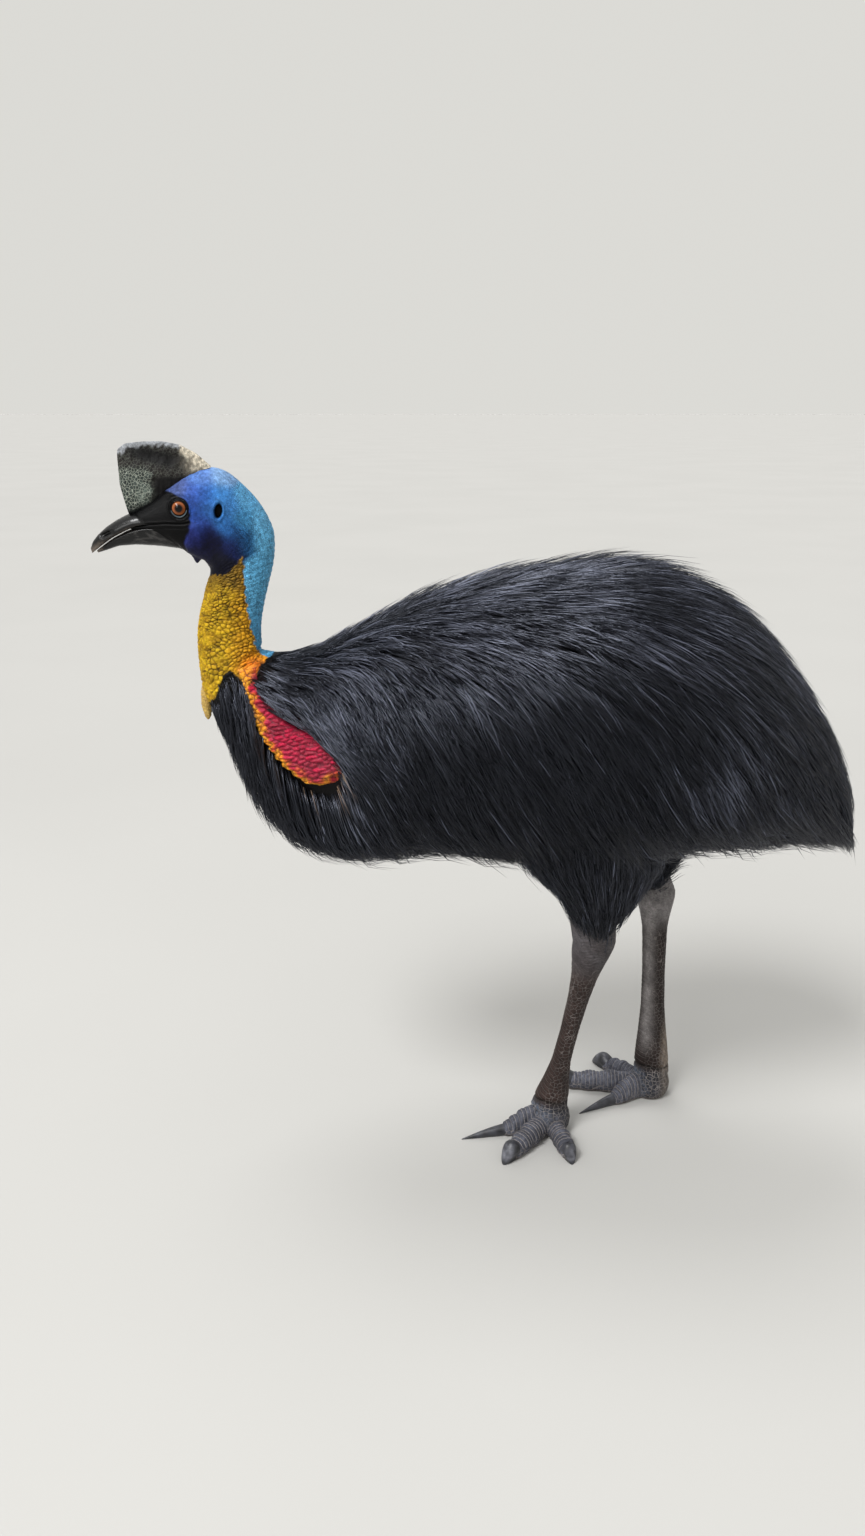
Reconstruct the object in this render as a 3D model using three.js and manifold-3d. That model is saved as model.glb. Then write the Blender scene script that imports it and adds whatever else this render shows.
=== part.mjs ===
// Northern cassowary standing with its feet apart, a still life-size model, after three.js.
// Millimetres, +Z up. The bird faces -X, its left side is -Y, and its feet stand on z = 0.
import * as THREE from 'three';
import { LoftGeometry } from 'three/addons/geometries/LoftGeometry.js';
import { mergeVertices } from 'three/addons/utils/BufferGeometryUtils.js';
import Module from 'manifold-3d';

const wasm = await Module();
wasm.setup();
const { clamp, degToRad, lerp, smoothstep } = THREE.MathUtils;

// Driving dimensions
const GAP = 0.3;
const COAT_GAP = 0.45;
const MERGE_WITHIN = 1e-3;
const HEAD_YAW = degToRad(8);
const HEAD_SIDE = -6;
const HEAD_PIVOT_X = -372;
const BODY_SIDES = 24;
const HEAD_SIDES = 18;
const LEG_SIDES = 12;
const TOE_SIDES = 10;
const EYE_RADIUS = 12;
const EYE_CENTRE = { x: -442, y: 23, z: 1021 };
const EYE_RIM = { y: 31, radiusX: 11.5, radiusZ: 10.5, tube: 2.4 };
const EAR_CENTRE = { x: -385, z: 1017 };
const EAR_RIM = { y: 34.5, radiusX: 8.5, radiusZ: 12.5, tube: 2.6 };
const EAR_HOLE = { y: 38, radii: [6.5, 9, 10.5] };
const MOUTH = { x: -463, z: 999, length: 64, height: 1.6, depth: 30, inner: 17, slope: 2 };
const SIDES = { left: -1, right: 1 };

// Colours of the sub-parts
const COLOURS = {
  plumage: 0x15151b,
  headSkin: 0x3f62c4,
  neckSkin: 0xdca419,
  stripSkin: 0xcf2350,
  wattle: 0xe6bd5a,
  casque: 0x3a322c,
  bill: 0x17171a,
  eye: 0xa3573a,
  leg: 0x6f6a66,
  toe: 0x4c4d57,
  claw: 0x3b3733,
};

// Sections from the bill's root over the head to the neck: crown side, throat side and half width.
const HEAD_SECTIONS = [
  { top: [-505, 1016], bottom: [-447, 961], half: 23, widest: 0.62 },
  { top: [-487, 1028], bottom: [-438, 955], half: 28, widest: 0.6 },
  { top: [-463, 1047], bottom: [-428, 949], half: 32, widest: 0.58 },
  { top: [-438, 1064], bottom: [-420, 944], half: 34, widest: 0.56 },
  { top: [-410, 1074], bottom: [-413, 939], half: 36, widest: 0.55 },
  { top: [-380, 1069], bottom: [-409, 933], half: 37, widest: 0.55 },
  { top: [-352, 1046], bottom: [-409, 927], half: 37, widest: 0.55 },
  { top: [-331, 1020], bottom: [-410, 922], half: 37, widest: 0.54 },
  { top: [-317, 990], bottom: [-412, 917], half: 36, widest: 0.53 },
  { top: [-315, 962], bottom: [-414, 910], half: 35, widest: 0.52 },
  { top: [-319, 935], bottom: [-416, 903], half: 34, widest: 0.5 },
];

// Sections down the neck. turn is the share of the head's turn that each one keeps.
const NECK_SECTIONS = [
  { top: [-319, 935], bottom: [-416, 903], half: 34, widest: 0.5, turn: 1 },
  { top: [-326, 910], bottom: [-424, 881], half: 34, widest: 0.5, turn: 0.85 },
  { top: [-333, 885], bottom: [-429, 862], half: 34, widest: 0.5, turn: 0.6 },
  { top: [-339, 858], bottom: [-433, 843], half: 35, widest: 0.5, turn: 0.35 },
  { top: [-341, 838], bottom: [-435, 812], half: 37, widest: 0.5, turn: 0.15 },
  { top: [-341, 822], bottom: [-434, 780], half: 40, widest: 0.5, turn: 0.05 },
  { top: [-340, 812], bottom: [-432, 748], half: 44, widest: 0.5, turn: 0 },
];
const NECK_SPLIT = 3;

// Sections of the feathered body, out to the tips of the coat, from the neck's base to the rump.
const TORSO_SECTIONS = [
  { top: [-340, 812], bottom: [-432, 748], half: 44, widest: 0.5 },
  { top: [-318, 810], bottom: [-418, 712], half: 54, widest: 0.5 },
  { top: [-290, 811], bottom: [-400, 672], half: 67, widest: 0.5 },
  { top: [-250, 821], bottom: [-380, 622], half: 84, widest: 0.49 },
  { top: [-200, 844], bottom: [-355, 570], half: 103, widest: 0.48 },
  { top: [-145, 872], bottom: [-315, 524], half: 122, widest: 0.47 },
  { top: [-85, 897], bottom: [-262, 498], half: 140, widest: 0.46 },
  { top: [-20, 917], bottom: [-190, 488], half: 158, widest: 0.45 },
  { top: [50, 930], bottom: [-100, 491], half: 174, widest: 0.44 },
  { top: [120, 938], bottom: [10, 498], half: 188, widest: 0.43 },
  { top: [190, 943], bottom: [120, 500], half: 197, widest: 0.42 },
  { top: [260, 936], bottom: [220, 502], half: 197, widest: 0.42 },
  { top: [320, 915], bottom: [312, 504], half: 188, widest: 0.42 },
];

// Sections of the tail, which droops from the rump to a point.
const TAIL_SECTIONS = [
  { top: [320, 915], bottom: [312, 504], half: 188, widest: 0.42 },
  { top: [372, 883], bottom: [372, 506], half: 168, widest: 0.42 },
  { top: [420, 841], bottom: [428, 508], half: 141, widest: 0.42 },
  { top: [466, 785], bottom: [478, 508], half: 110, widest: 0.42 },
  { top: [505, 724], bottom: [517, 507], half: 79, widest: 0.42 },
  { top: [537, 659], bottom: [546, 503], half: 51, widest: 0.42 },
  { top: [560, 592], bottom: [566, 500], half: 28, widest: 0.42 },
  { top: [573, 534], bottom: [577, 498], half: 9, widest: 0.42 },
];

// The legs: the left one stands under the body, the right one is set farther back and out.
const LEGS = {
  left: {
    side: -1,
    hip: [138, -104, 590],
    ankle: [162, -84, 372],
    foot: [110, -36, 58],
    toeRoot: 44,
    toes: {
      inner: { angle: 6, reach: 72, claw: 80, width: 15 },
      middle: { angle: 49, reach: 86, claw: 42, width: 17 },
      outer: { angle: 106, reach: 66, claw: 34, width: 15 },
    },
  },
  right: {
    side: 1,
    hip: [200, 104, 590],
    ankle: [288, 84, 382],
    foot: [297, 67, 58],
    toeRoot: 54,
    toes: {
      inner: { angle: 26, reach: 74, claw: 73, width: 15 },
      middle: { angle: -7, reach: 118, claw: 50, width: 17 },
      outer: { angle: -48, reach: 92, claw: 38, width: 15 },
    },
  },
};

// Helpers

const vec = (x, y, z) => new THREE.Vector3(x, y, z);

function material(colour, roughness = 0.6) {
  return new THREE.MeshStandardMaterial({ color: colour, roughness, metalness: 0 });
}

// A closed geometry as a solid that can be joined and cut.
function solidOf(geometry) {
  const bare = new THREE.BufferGeometry();
  bare.setAttribute('position', geometry.getAttribute('position'));
  bare.setIndex(geometry.index);
  const merged = mergeVertices(bare, MERGE_WITHIN);
  return new wasm.Manifold(new wasm.Mesh({
    numProp: 3,
    vertProperties: Float32Array.from(merged.getAttribute('position').array),
    triVerts: Uint32Array.from(merged.index.array),
  }));
}

// Only the largest closed surface of a solid.
function largestOf(solid) {
  const pieces = solid.decompose();
  pieces.sort((a, b) => b.volume() - a.volume());
  return pieces[0];
}

function joined(solids) {
  return solids.reduce((sum, solid) => sum.add(solid));
}

function geometryOf(solid) {
  const { vertProperties, triVerts } = solid.getMesh();
  const geometry = new THREE.BufferGeometry();
  geometry.setAttribute('position', new THREE.Float32BufferAttribute(vertProperties, 3));
  geometry.setIndex(new THREE.Uint32BufferAttribute(triVerts, 1));
  geometry.computeVertexNormals();
  return geometry;
}

// A solid's largest surface, once more after merging, which can part what a sliver holds.
function wholeOf(solid) {
  return largestOf(solidOf(geometryOf(largestOf(solid))));
}

function part(name, solid, colour, roughness) {
  const mesh = new THREE.Mesh(geometryOf(wholeOf(solid)), material(colour, roughness));
  mesh.name = name;
  return mesh;
}

// Whether a ring runs counterclockwise as seen from further along the loft.
function runsForward(ring, nextRing) {
  const normal = vec();
  const ahead = vec();
  ring.forEach((point, i) => {
    normal.add(point.clone().cross(ring[(i + 1) % ring.length]));
    ahead.add(nextRing[i]).sub(point);
  });
  return normal.dot(ahead) > 0;
}

function loft(rings) {
  const ordered = runsForward(rings[0], rings[1]) ? rings : rings.map((ring) => [...ring].reverse());
  return solidOf(new LoftGeometry(ordered, { capStart: true, capEnd: true }));
}

// A point of an egg-shaped section, at an angle from its top. widest is the share of its height
// at which it is widest, ridge above 1 draws its upper half in to a ridge, and belly below 1
// squares its lower half.
function eggPoint({ top, bottom, half, widest = 0.5, ridge = 1, belly = 1 }, angle, grow = 0) {
  const up = vec(top[0] - bottom[0], 0, top[1] - bottom[1]);
  const height = up.length();
  const rise = Math.cos(angle);
  const reach = (rise > 0 ? (1 - widest) : widest) * height + grow;
  const across = Math.abs(Math.sin(angle)) ** (rise > 0 ? ridge : belly);
  const point = vec(bottom[0], 0, bottom[1]).addScaledVector(up, widest);
  point.addScaledVector(up, (rise * reach) / height);
  point.y = Math.sign(Math.sin(angle)) * across * (half + grow);
  return point;
}

function eggRing(section, sides, grow = 0) {
  return Array.from({ length: sides }, (_, i) => eggPoint(section, (i / sides) * Math.PI * 2, grow));
}

// Moves one end section of a run along the run, so that neighbours meet with a gap.
function withGap(sections, atEnd = true) {
  const copy = sections.map((section) => ({ ...section }));
  const edge = copy[atEnd ? copy.length - 1 : 0];
  const next = copy[atEnd ? copy.length - 2 : 1];
  const step = (from, to) => {
    const length = Math.hypot(to[0] - from[0], to[1] - from[1]);
    return [from[0] + ((to[0] - from[0]) / length) * GAP, from[1] + ((to[1] - from[1]) / length) * GAP];
  };
  edge.top = step(edge.top, next.top);
  edge.bottom = step(edge.bottom, next.bottom);
  return copy;
}

// Turns points about the upright line through the neck, as the head is turned.
function turned(ring, share) {
  const angle = HEAD_YAW * share;
  return ring.map((point) => {
    const x = point.x - HEAD_PIVOT_X;
    return vec(
      HEAD_PIVOT_X + x * Math.cos(angle) - point.y * Math.sin(angle),
      x * Math.sin(angle) + point.y * Math.cos(angle) + HEAD_SIDE * share,
      point.z,
    );
  });
}

// Head, in its own upright frame: the group that holds it turns it.

function headSolid(grow = 0) {
  return loft(HEAD_SECTIONS.map((section) => eggRing(section, HEAD_SIDES, grow)));
}

function ball(centre, radii, width = 12, height = 8) {
  const geometry = new THREE.SphereGeometry(1, width, height);
  geometry.scale(...radii);
  geometry.translate(...centre);
  return solidOf(geometry);
}

// A raised rim round the eye or ear on one side of the head.
function rimAt({ x, z }, { y, radiusX, radiusZ, tube }, side) {
  const geometry = new THREE.TorusGeometry(1, tube / radiusX, 4, 12);
  geometry.rotateX(Math.PI / 2);
  geometry.scale(radiusX, radiusX, radiusZ);
  geometry.translate(x, side * y, z);
  return solidOf(geometry);
}

// The slit of the mouth runs back from the bill's root along each cheek.
function mouthSlit(side) {
  const slit = new THREE.BoxGeometry(MOUTH.length, MOUTH.depth, MOUTH.height);
  slit.rotateY(degToRad(-MOUTH.slope));
  slit.translate(MOUTH.x, side * (MOUTH.inner + MOUTH.depth / 2), MOUTH.z);
  return solidOf(slit);
}

function buildHead() {
  const sides = Object.values(SIDES);
  const rims = sides.flatMap((side) => (
    [rimAt(EYE_CENTRE, EYE_RIM, side), rimAt(EAR_CENTRE, EAR_RIM, side)]));
  let head = joined([headSolid(), ...rims]);
  for (const side of sides) {
    const { x, y, z } = EYE_CENTRE;
    head = head.subtract(eyeBall([x, side * y, z], EYE_RADIUS + GAP));
    head = head.subtract(ball([EAR_CENTRE.x, side * EAR_HOLE.y, EAR_CENTRE.z], EAR_HOLE.radii, 8, 6));
    head = head.subtract(mouthSlit(side));
  }
  return head;
}

function eyeBall(centre, radius) {
  return ball(centre, [radius, radius, radius], 12, 8);
}

function buildEye(side) {
  const { x, y, z } = EYE_CENTRE;
  return eyeBall([x, side * y, z], EYE_RADIUS);
}

// The casque: a blade of horn, flat on its front edge and worn round at the top and back.
const CASQUE_SECTIONS = [
  { base: [-517, 1008], crest: [-527, 1052], half: 9 },
  { base: [-508, 1010], crest: [-527, 1092], half: 13 },
  { base: [-494, 1016], crest: [-516, 1104], half: 15 },
  { base: [-476, 1026], crest: [-492, 1108], half: 17 },
  { base: [-456, 1038], crest: [-466, 1109], half: 18 },
  { base: [-434, 1050], crest: [-438, 1103], half: 17 },
  { base: [-412, 1058], crest: [-412, 1089], half: 14 },
  { base: [-396, 1062], crest: [-398, 1075], half: 8 },
];

function buildCasque() {
  const sections = CASQUE_SECTIONS.map(({ base, crest, half }) => (
    eggRing({ top: crest, bottom: base, half, widest: 0.25, ridge: 1.25 }, 16)));
  const bill = billSolid(UPPER_BILL, GAP);
  return loft(sections).subtract(headSolid(GAP)).subtract(bill);
}

// The bill: its root is the head's first section, parted where the mouth line meets it.
const BILL_ROOT = HEAD_SECTIONS[0];
const rootPoint = (share) => BILL_ROOT.top.map((value, i) => (
  lerp(value, BILL_ROOT.bottom[i], share)));
const UPPER_BILL = [
  { top: BILL_ROOT.top, bottom: rootPoint(0.32), half: 23, widest: 0.1 },
  { top: [-519, 1010], bottom: [-501, 995.5], half: 20, widest: 0.12 },
  { top: [-535, 1002], bottom: [-521, 989.5], half: 16.5, widest: 0.15 },
  { top: [-550, 992], bottom: [-541, 980], half: 13, widest: 0.2 },
  { top: [-562, 981.5], bottom: [-556, 970.5], half: 9.5, widest: 0.25 },
  { top: [-570, 972], bottom: [-566, 963.5], half: 6, widest: 0.3 },
  { top: [-573, 964.5], bottom: [-571, 959.5], half: 2, widest: 0.4 },
];
const LOWER_BILL = [
  { top: rootPoint(0.345), bottom: BILL_ROOT.bottom, half: 23, widest: 0.9 },
  { top: [-501, 994.2], bottom: [-476, 966.5], half: 19.5, widest: 0.88 },
  { top: [-521, 988.2], bottom: [-508, 969], half: 15.5, widest: 0.85 },
  { top: [-541, 978.7], bottom: [-534, 967.5], half: 12, widest: 0.8 },
  { top: [-556, 969.2], bottom: [-552, 962], half: 8.5, widest: 0.7 },
  { top: [-566, 962], bottom: [-564, 958.5], half: 3, widest: 0.6 },
];

function billSolid(sections, grow = 0) {
  return loft(sections.map((section) => eggRing(section, 16, grow)));
}

function buildUpperBill() {
  let bill = billSolid(withGap(UPPER_BILL, false));
  for (const side of [-1, 1]) {
    const nostril = new THREE.SphereGeometry(1, 8, 5);
    nostril.scale(9, 3.2, 2.6);
    nostril.rotateY(degToRad(-24));
    nostril.translate(-546, side * 11.5, 985);
    bill = bill.subtract(solidOf(nostril));
  }
  return bill;
}

function buildLowerBill() {
  return billSolid(withGap(LOWER_BILL, false));
}

// Neck

function neckLoft(sections, grow = 0) {
  return loft(sections.map((section) => (
    turned(eggRing(section, HEAD_SIDES, grow), section.turn))));
}

function buildNeckUpper() {
  const run = withGap(withGap(NECK_SECTIONS.slice(0, NECK_SPLIT + 1), false), true);
  return neckLoft(run);
}

function buildNeckLower() {
  return neckLoft(withGap(NECK_SECTIONS.slice(NECK_SPLIT), true));
}

// Plumage

const RIDGE = 1.12;
const BELLY = 0.6;
const BODY_SECTIONS = [...TORSO_SECTIONS, ...TAIL_SECTIONS.slice(1)].map((section) => (
  { ...section, ridge: RIDGE, belly: BELLY }));
const TAIL_START = TORSO_SECTIONS.length - 1;
const TAIL_CORE_END = TAIL_START + 3;
const COAT_END = BODY_SECTIONS.length - 1.1;
const LAST_ANGLE = degToRad(177);
const COAT_DEPTH = 26;
const BELLY_DEPTH = 24;
const SECTION_STEP = 40;
const FAR_SIDE = 400;
const ROOT_LEVEL = -0.28;
const ALONG_STEP = 0.05;
const ROUND_STEP = 0.03;

// Section of the body at a place between two of the listed ones.
function bodySection(place) {
  const last = BODY_SECTIONS.length - 1;
  const index = Math.min(Math.floor(Math.max(place, 0)), last - 1);
  const share = Math.min(place, last) - index;
  const [from, to] = [BODY_SECTIONS[index], BODY_SECTIONS[index + 1]];
  const mix = (a, b) => a + (b - a) * share;
  return {
    top: [mix(from.top[0], to.top[0]), mix(from.top[1], to.top[1])],
    bottom: [mix(from.bottom[0], to.bottom[0]), mix(from.bottom[1], to.bottom[1])],
    half: mix(from.half, to.half),
    widest: mix(from.widest, to.widest),
    ridge: RIDGE,
    belly: BELLY,
  };
}

// Depth of the coat over the core: thin at the neck, deep under the belly and at the rump.
function coatDepth(place, angle) {
  const under = smoothstep(Math.abs(angle), degToRad(100), degToRad(150));
  const rump = smoothstep(place, TAIL_START, TAIL_CORE_END);
  return lerp(2, COAT_DEPTH, smoothstep(place, 0, 5))
    + BELLY_DEPTH * under * smoothstep(place, 1, 5) + 22 * rump;
}

function coatPoint(place, angle, share) {
  return eggPoint(bodySection(place), angle, -coatDepth(place, angle) * (1 - share));
}

// The core of the coat between two places along the body.
function coreSolid(from, to, steps, grow = 0) {
  const rings = [];
  const past = grow / SECTION_STEP;
  for (let i = 0; i <= steps; i++) {
    const place = lerp(from - past, to + past, i / steps);
    rings.push(Array.from({ length: BODY_SIDES }, (_, k) => {
      const turn = (k / BODY_SIDES) * Math.PI * 2;
      const angle = turn > Math.PI ? turn - Math.PI * 2 : turn;
      return eggPoint(bodySection(place), angle, grow - coatDepth(place, angle));
    }));
  }
  return loft(rings);
}

// A seeded random number from 0 to 1.
function randomFrom(seed) {
  let state = seed;
  return () => {
    state = (state * 1664525 + 1013904223) % 4294967296;
    return state / 4294967296;
  };
}

// A flat tapered lock along a spine: three-sided sections, widest near the middle. Its thin edges
// grow farther than the rest, so that a grown lock holds the whole of the lock itself.
const EDGE_GROWTH = 0.3;
const LOCK_WIDTHS = [0.66, 1, 0.85, 0.06];

function lockSolid(spine, width, thick, grow) {
  return loft(spine.map(({ point, out }, i) => {
    const before = spine[Math.max(i - 1, 0)].point;
    const after = spine[Math.min(i + 1, spine.length - 1)].point;
    const across = after.clone().sub(before).cross(out).normalize();
    const half = (width / 2) * LOCK_WIDTHS[i] * (1 + grow * EDGE_GROWTH) + grow * 2;
    const high = thick * (0.35 + 0.65 * LOCK_WIDTHS[i]) + grow * 2;
    const centre = point.clone();
    if (i === spine.length - 1) centre.addScaledVector(after.clone().sub(before).normalize(), grow * 2);
    return [
      centre.clone().addScaledVector(across, half).addScaledVector(out, -grow),
      centre.clone().addScaledVector(out, high),
      centre.clone().addScaledVector(across, -half).addScaledVector(out, -grow),
    ];
  }));
}

// How far feathers turn from straight back to down, by place along the body and angle round it.
function feathersTurn(place, angle) {
  const round = Math.abs(angle);
  const flank = smoothstep(round, 0, degToRad(115));
  const breast = 1 - smoothstep(place, 2, 7);
  const turn = lerp(degToRad(6), degToRad(lerp(58, 66, breast)), flank);
  return Math.sign(angle) * turn * (1 - smoothstep(round, degToRad(140), degToRad(178)));
}

// Spine of a body lock: it starts in the core, follows the lie of the coat and ends at the tips.
function bodySpine(place, angle, length, bend, tipShare) {
  const spine = [];
  const steps = LOCK_WIDTHS.length - 1;
  let [along, round] = [place, angle];
  for (let i = 0; i <= steps; i++) {
    const share = i / steps;
    const level = lerp(ROOT_LEVEL, tipShare, share ** 0.9);
    const here = coatPoint(along, round, level);
    const nextAlong = coatPoint(along + ALONG_STEP, round, level);
    const nextRound = coatPoint(along, round + ROUND_STEP, level);
    const alongStep = nextAlong.clone().sub(here);
    const roundStep = nextRound.clone().sub(here);
    const out = roundStep.clone().cross(alongStep).normalize();
    spine.push({ point: here, out });
    const turn = feathersTurn(along, round) + bend;
    const ahead = (Math.cos(turn) * length / steps / alongStep.length()) * ALONG_STEP;
    along += Math.min(ahead, (COAT_END - along) / 2);
    round += (Math.sin(turn) * length / steps / roundStep.length()) * ROUND_STEP;
    round = clamp(round, -LAST_ANGLE, LAST_ANGLE);
  }
  return spine;
}

// Angles round a section, from the ridge to a last angle, evenly spaced along its outline.
function evenAngles(place, last, spacing, offset) {
  const steps = 40;
  const lengths = [0];
  for (let i = 1; i <= steps; i++) {
    const a = coatPoint(place, (last * (i - 1)) / steps, 1);
    const b = coatPoint(place, (last * i) / steps, 1);
    lengths.push(lengths[i - 1] + a.distanceTo(b));
  }
  const count = Math.max(2, Math.round(lengths[steps] / spacing));
  const angles = [];
  for (let k = 0; k < count; k++) {
    const target = ((k + offset) / count) * lengths[steps];
    const index = Math.min(lengths.findIndex((length) => length > target) - 1, steps - 1);
    const rest = (target - lengths[index]) / (lengths[index + 1] - lengths[index]);
    angles.push((last * (index + rest)) / steps);
  }
  return angles;
}

// All the locks of a run of rows along the body. None is set where skip finds one in the way.
function bodyLocks(rows, seed, grow, skip = () => false) {
  const random = randomFrom(seed);
  const locks = [];
  rows.forEach(({ place, length, width, apart, thick, last }, row) => {
    for (const angle of evenAngles(place, degToRad(last), apart, row % 2 ? 0.5 : 0)) {
      for (const side of angle === 0 ? [1] : [-1, 1]) {
        const bend = (random() - 0.5) * 0.16;
        const reach = length * (0.9 + 0.2 * random());
        const tip = 0.98 + 0.1 * random();
        const broad = width * (0.94 + 0.12 * random());
        const turn = angle * side + 0.04 * (random() - 0.5);
        const spine = bodySpine(place, turn, reach, bend, tip);
        if (!skip(spine)) locks.push(lockSolid(spine, broad, thick, grow));
      }
    }
  });
  return locks;
}

const BREAST_END = 3;
const BREAST_ROWS = [
  { place: 0.8, length: 90, width: 38, apart: 44, thick: 4, last: 140 },
  { place: 2, length: 130, width: 50, apart: 58, thick: 5, last: 180 },
];
const TORSO_ROWS = [
  { place: 3.4, length: 160, width: 62, apart: 72, thick: 6, last: 180 },
  { place: 4.9, length: 170, width: 66, apart: 78, thick: 6, last: 180 },
  { place: 6.4, length: 175, width: 68, apart: 80, thick: 6, last: 180 },
  { place: 7.9, length: 175, width: 68, apart: 82, thick: 6, last: 180 },
  { place: 9.4, length: 175, width: 68, apart: 82, thick: 6, last: 150 },
  { place: 10.9, length: 170, width: 68, apart: 80, thick: 6, last: 180 },
];
const TAIL_ROWS = [
  { place: 12.5, length: 160, width: 64, apart: 84, thick: 6, last: 170 },
  { place: 13.8, length: 175, width: 56, apart: 80, thick: 6, last: 170 },
  { place: 14.6, length: 235, width: 44, apart: 76, thick: 6, last: 165 },
];

// Cores of the feathered nodes, each with a copy grown by the gap for cutting its neighbours.
const breastCore = (grow = 0) => coreSolid(0, BREAST_END, 4, grow);
const torsoCore = (grow = 0) => coreSolid(BREAST_END, TAIL_START, 9, grow);
const tailCore = (grow = 0) => coreSolid(TAIL_START, TAIL_CORE_END, 4, grow);
const wholeCore = new THREE.Mesh(geometryOf(coreSolid(0, TAIL_START, 20)));

// Where a line across the bird meets its core, with the outward normal there.
function onCore(side, x, z) {
  const from = vec(x, side * FAR_SIDE, z);
  const [hit] = new THREE.Raycaster(from, vec(0, -side, 0)).intersectObject(wholeCore);
  return { point: hit.point, normal: hit.face.normal };
}

// A flat band that lies along a route on the core's side: a ring at each stop of the route.
function bandOnCore(side, stops, sides) {
  const places = stops.map(({ x, z }) => onCore(side, x, z));
  return loft(stops.map(({ width, thick }, i) => {
    const before = places[Math.max(i - 1, 0)].point;
    const after = places[Math.min(i + 1, places.length - 1)].point;
    const along = after.clone().sub(before).normalize();
    const { point, normal } = places[i];
    const across = along.clone().cross(normal).normalize();
    const out = across.clone().cross(along);
    return Array.from({ length: sides }, (_, k) => {
      const angle = (k / sides) * Math.PI * 2;
      return point.clone()
        .addScaledVector(across, Math.cos(angle) * width)
        .addScaledVector(out, Math.sin(angle) * thick);
    });
  }));
}

// Stops along a route through a few points, evenly spaced.
function stopsAlong(points, count, sizeAt) {
  const curve = new THREE.CatmullRomCurve3(points.map(([x, z]) => vec(x, 0, z)));
  return Array.from({ length: count }, (_, i) => {
    const share = i / (count - 1);
    const { x, z } = curve.getPointAt(share);
    return { x, z, ...sizeAt(share) };
  });
}

const neckLowerGrown = neckLoft(NECK_SECTIONS.slice(NECK_SPLIT), GAP);

// Bare red strip down each side of the neck's base, in knobbly folds.
const STRIP_ROUTE = [[-344, 796], [-334, 752], [-305, 702], [-266, 664], [-236, 652]];
const STRIP_FOLDS = 7;
const STRIP_HALF = 29;
const BARE_EDGE = 6;
const BARE_FRONT = { x: -395, y: 24, z: 690 };

const STRIP_STOPS = stopsAlong(STRIP_ROUTE, 2 * STRIP_FOLDS + 1, (share) => {
  const fold = 0.86 + 0.14 * Math.cos(share * STRIP_FOLDS * Math.PI * 2 + Math.PI);
  const swell = 0.35 + 0.65 * Math.sin(Math.min(share * 1.25, 1) * Math.PI * 0.5);
  const close = Math.min(1, (1 - share) * 5 + 0.35);
  return { width: STRIP_HALF * swell * fold * close, thick: (7 + 7 * swell) * fold * close };
});

function stripSolid(side, grow = 0) {
  const stops = STRIP_STOPS.map(({ width, thick, ...rest }) => (
    { width: width + grow, thick: thick + grow, ...rest }));
  return bandOnCore(side, stops, 8);
}

// Whether a lock would lie over one of the bare strips or the wattle.
function overBareSkin(spine) {
  return spine.slice(1).some(({ point }) => (
    STRIP_STOPS.some(({ x, z, width }) => Math.hypot(point.x - x, point.z - z) < width + BARE_EDGE)
    || (Math.abs(point.y) < BARE_FRONT.y && point.x < BARE_FRONT.x && point.z > BARE_FRONT.z)));
}

// Small wing, pressed to the flank under the coat.
const WING_ROUTE = [[-118, 792], [-30, 765], [62, 716]];

function wingSolid(side, grow = 0) {
  const stops = stopsAlong(WING_ROUTE, 6, (share) => ({
    width: 8 + 24 * Math.sin(Math.PI * (0.12 + 0.8 * share)) + grow,
    thick: 4 + 8 * Math.sin(Math.PI * (0.12 + 0.8 * share)) + grow,
  }));
  return bandOnCore(side, stops, 8);
}

// Pendant fold of skin at the front of the neck's base.
const WATTLE_SECTIONS = [
  { x: -434, z: 762, half: 3.5, deep: 4 },
  { x: -437, z: 752, half: 5.5, deep: 6 },
  { x: -438, z: 738, half: 7, deep: 7.5 },
  { x: -436, z: 724, half: 6, deep: 7 },
  { x: -432, z: 714, half: 3.5, deep: 4.5 },
  { x: -429, z: 710, half: 1.2, deep: 1.5 },
];

function wattleSolid(grow = 0) {
  const rings = WATTLE_SECTIONS.map(({ x, z, half, deep }) => (
    ovalRing(vec(x, 0, z), deep + grow, half + grow, 10)));
  return loft(rings);
}

const besideLocks = joined(Object.values(SIDES).flatMap((side) => (
  [stripSolid(side, GAP), wingSolid(side, GAP)])));

// A feathered node: its core, and its locks cut clear of the strips and wings that lie among them.
function coated(core, rows, seed, grow) {
  const locks = joined(bodyLocks(rows, seed, grow, overBareSkin));
  return core.add(locks.subtract(besideLocks));
}

const breastPieces = (grow = 0) => coated(breastCore(grow), BREAST_ROWS, 9, grow);
const torsoPieces = (grow = 0) => coated(torsoCore(grow), TORSO_ROWS, 13, grow);
const tailPieces = (grow = 0) => coated(tailCore(grow), TAIL_ROWS, 36, grow);

// Legs

function ovalRing(centre, radiusX, radiusY, sides = LEG_SIDES) {
  const ring = [];
  for (let i = 0; i < sides; i++) {
    const angle = (i / sides) * Math.PI * 2;
    ring.push(vec(centre.x + Math.cos(angle) * radiusX, centre.y + Math.sin(angle) * radiusY, centre.z));
  }
  return ring;
}

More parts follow.
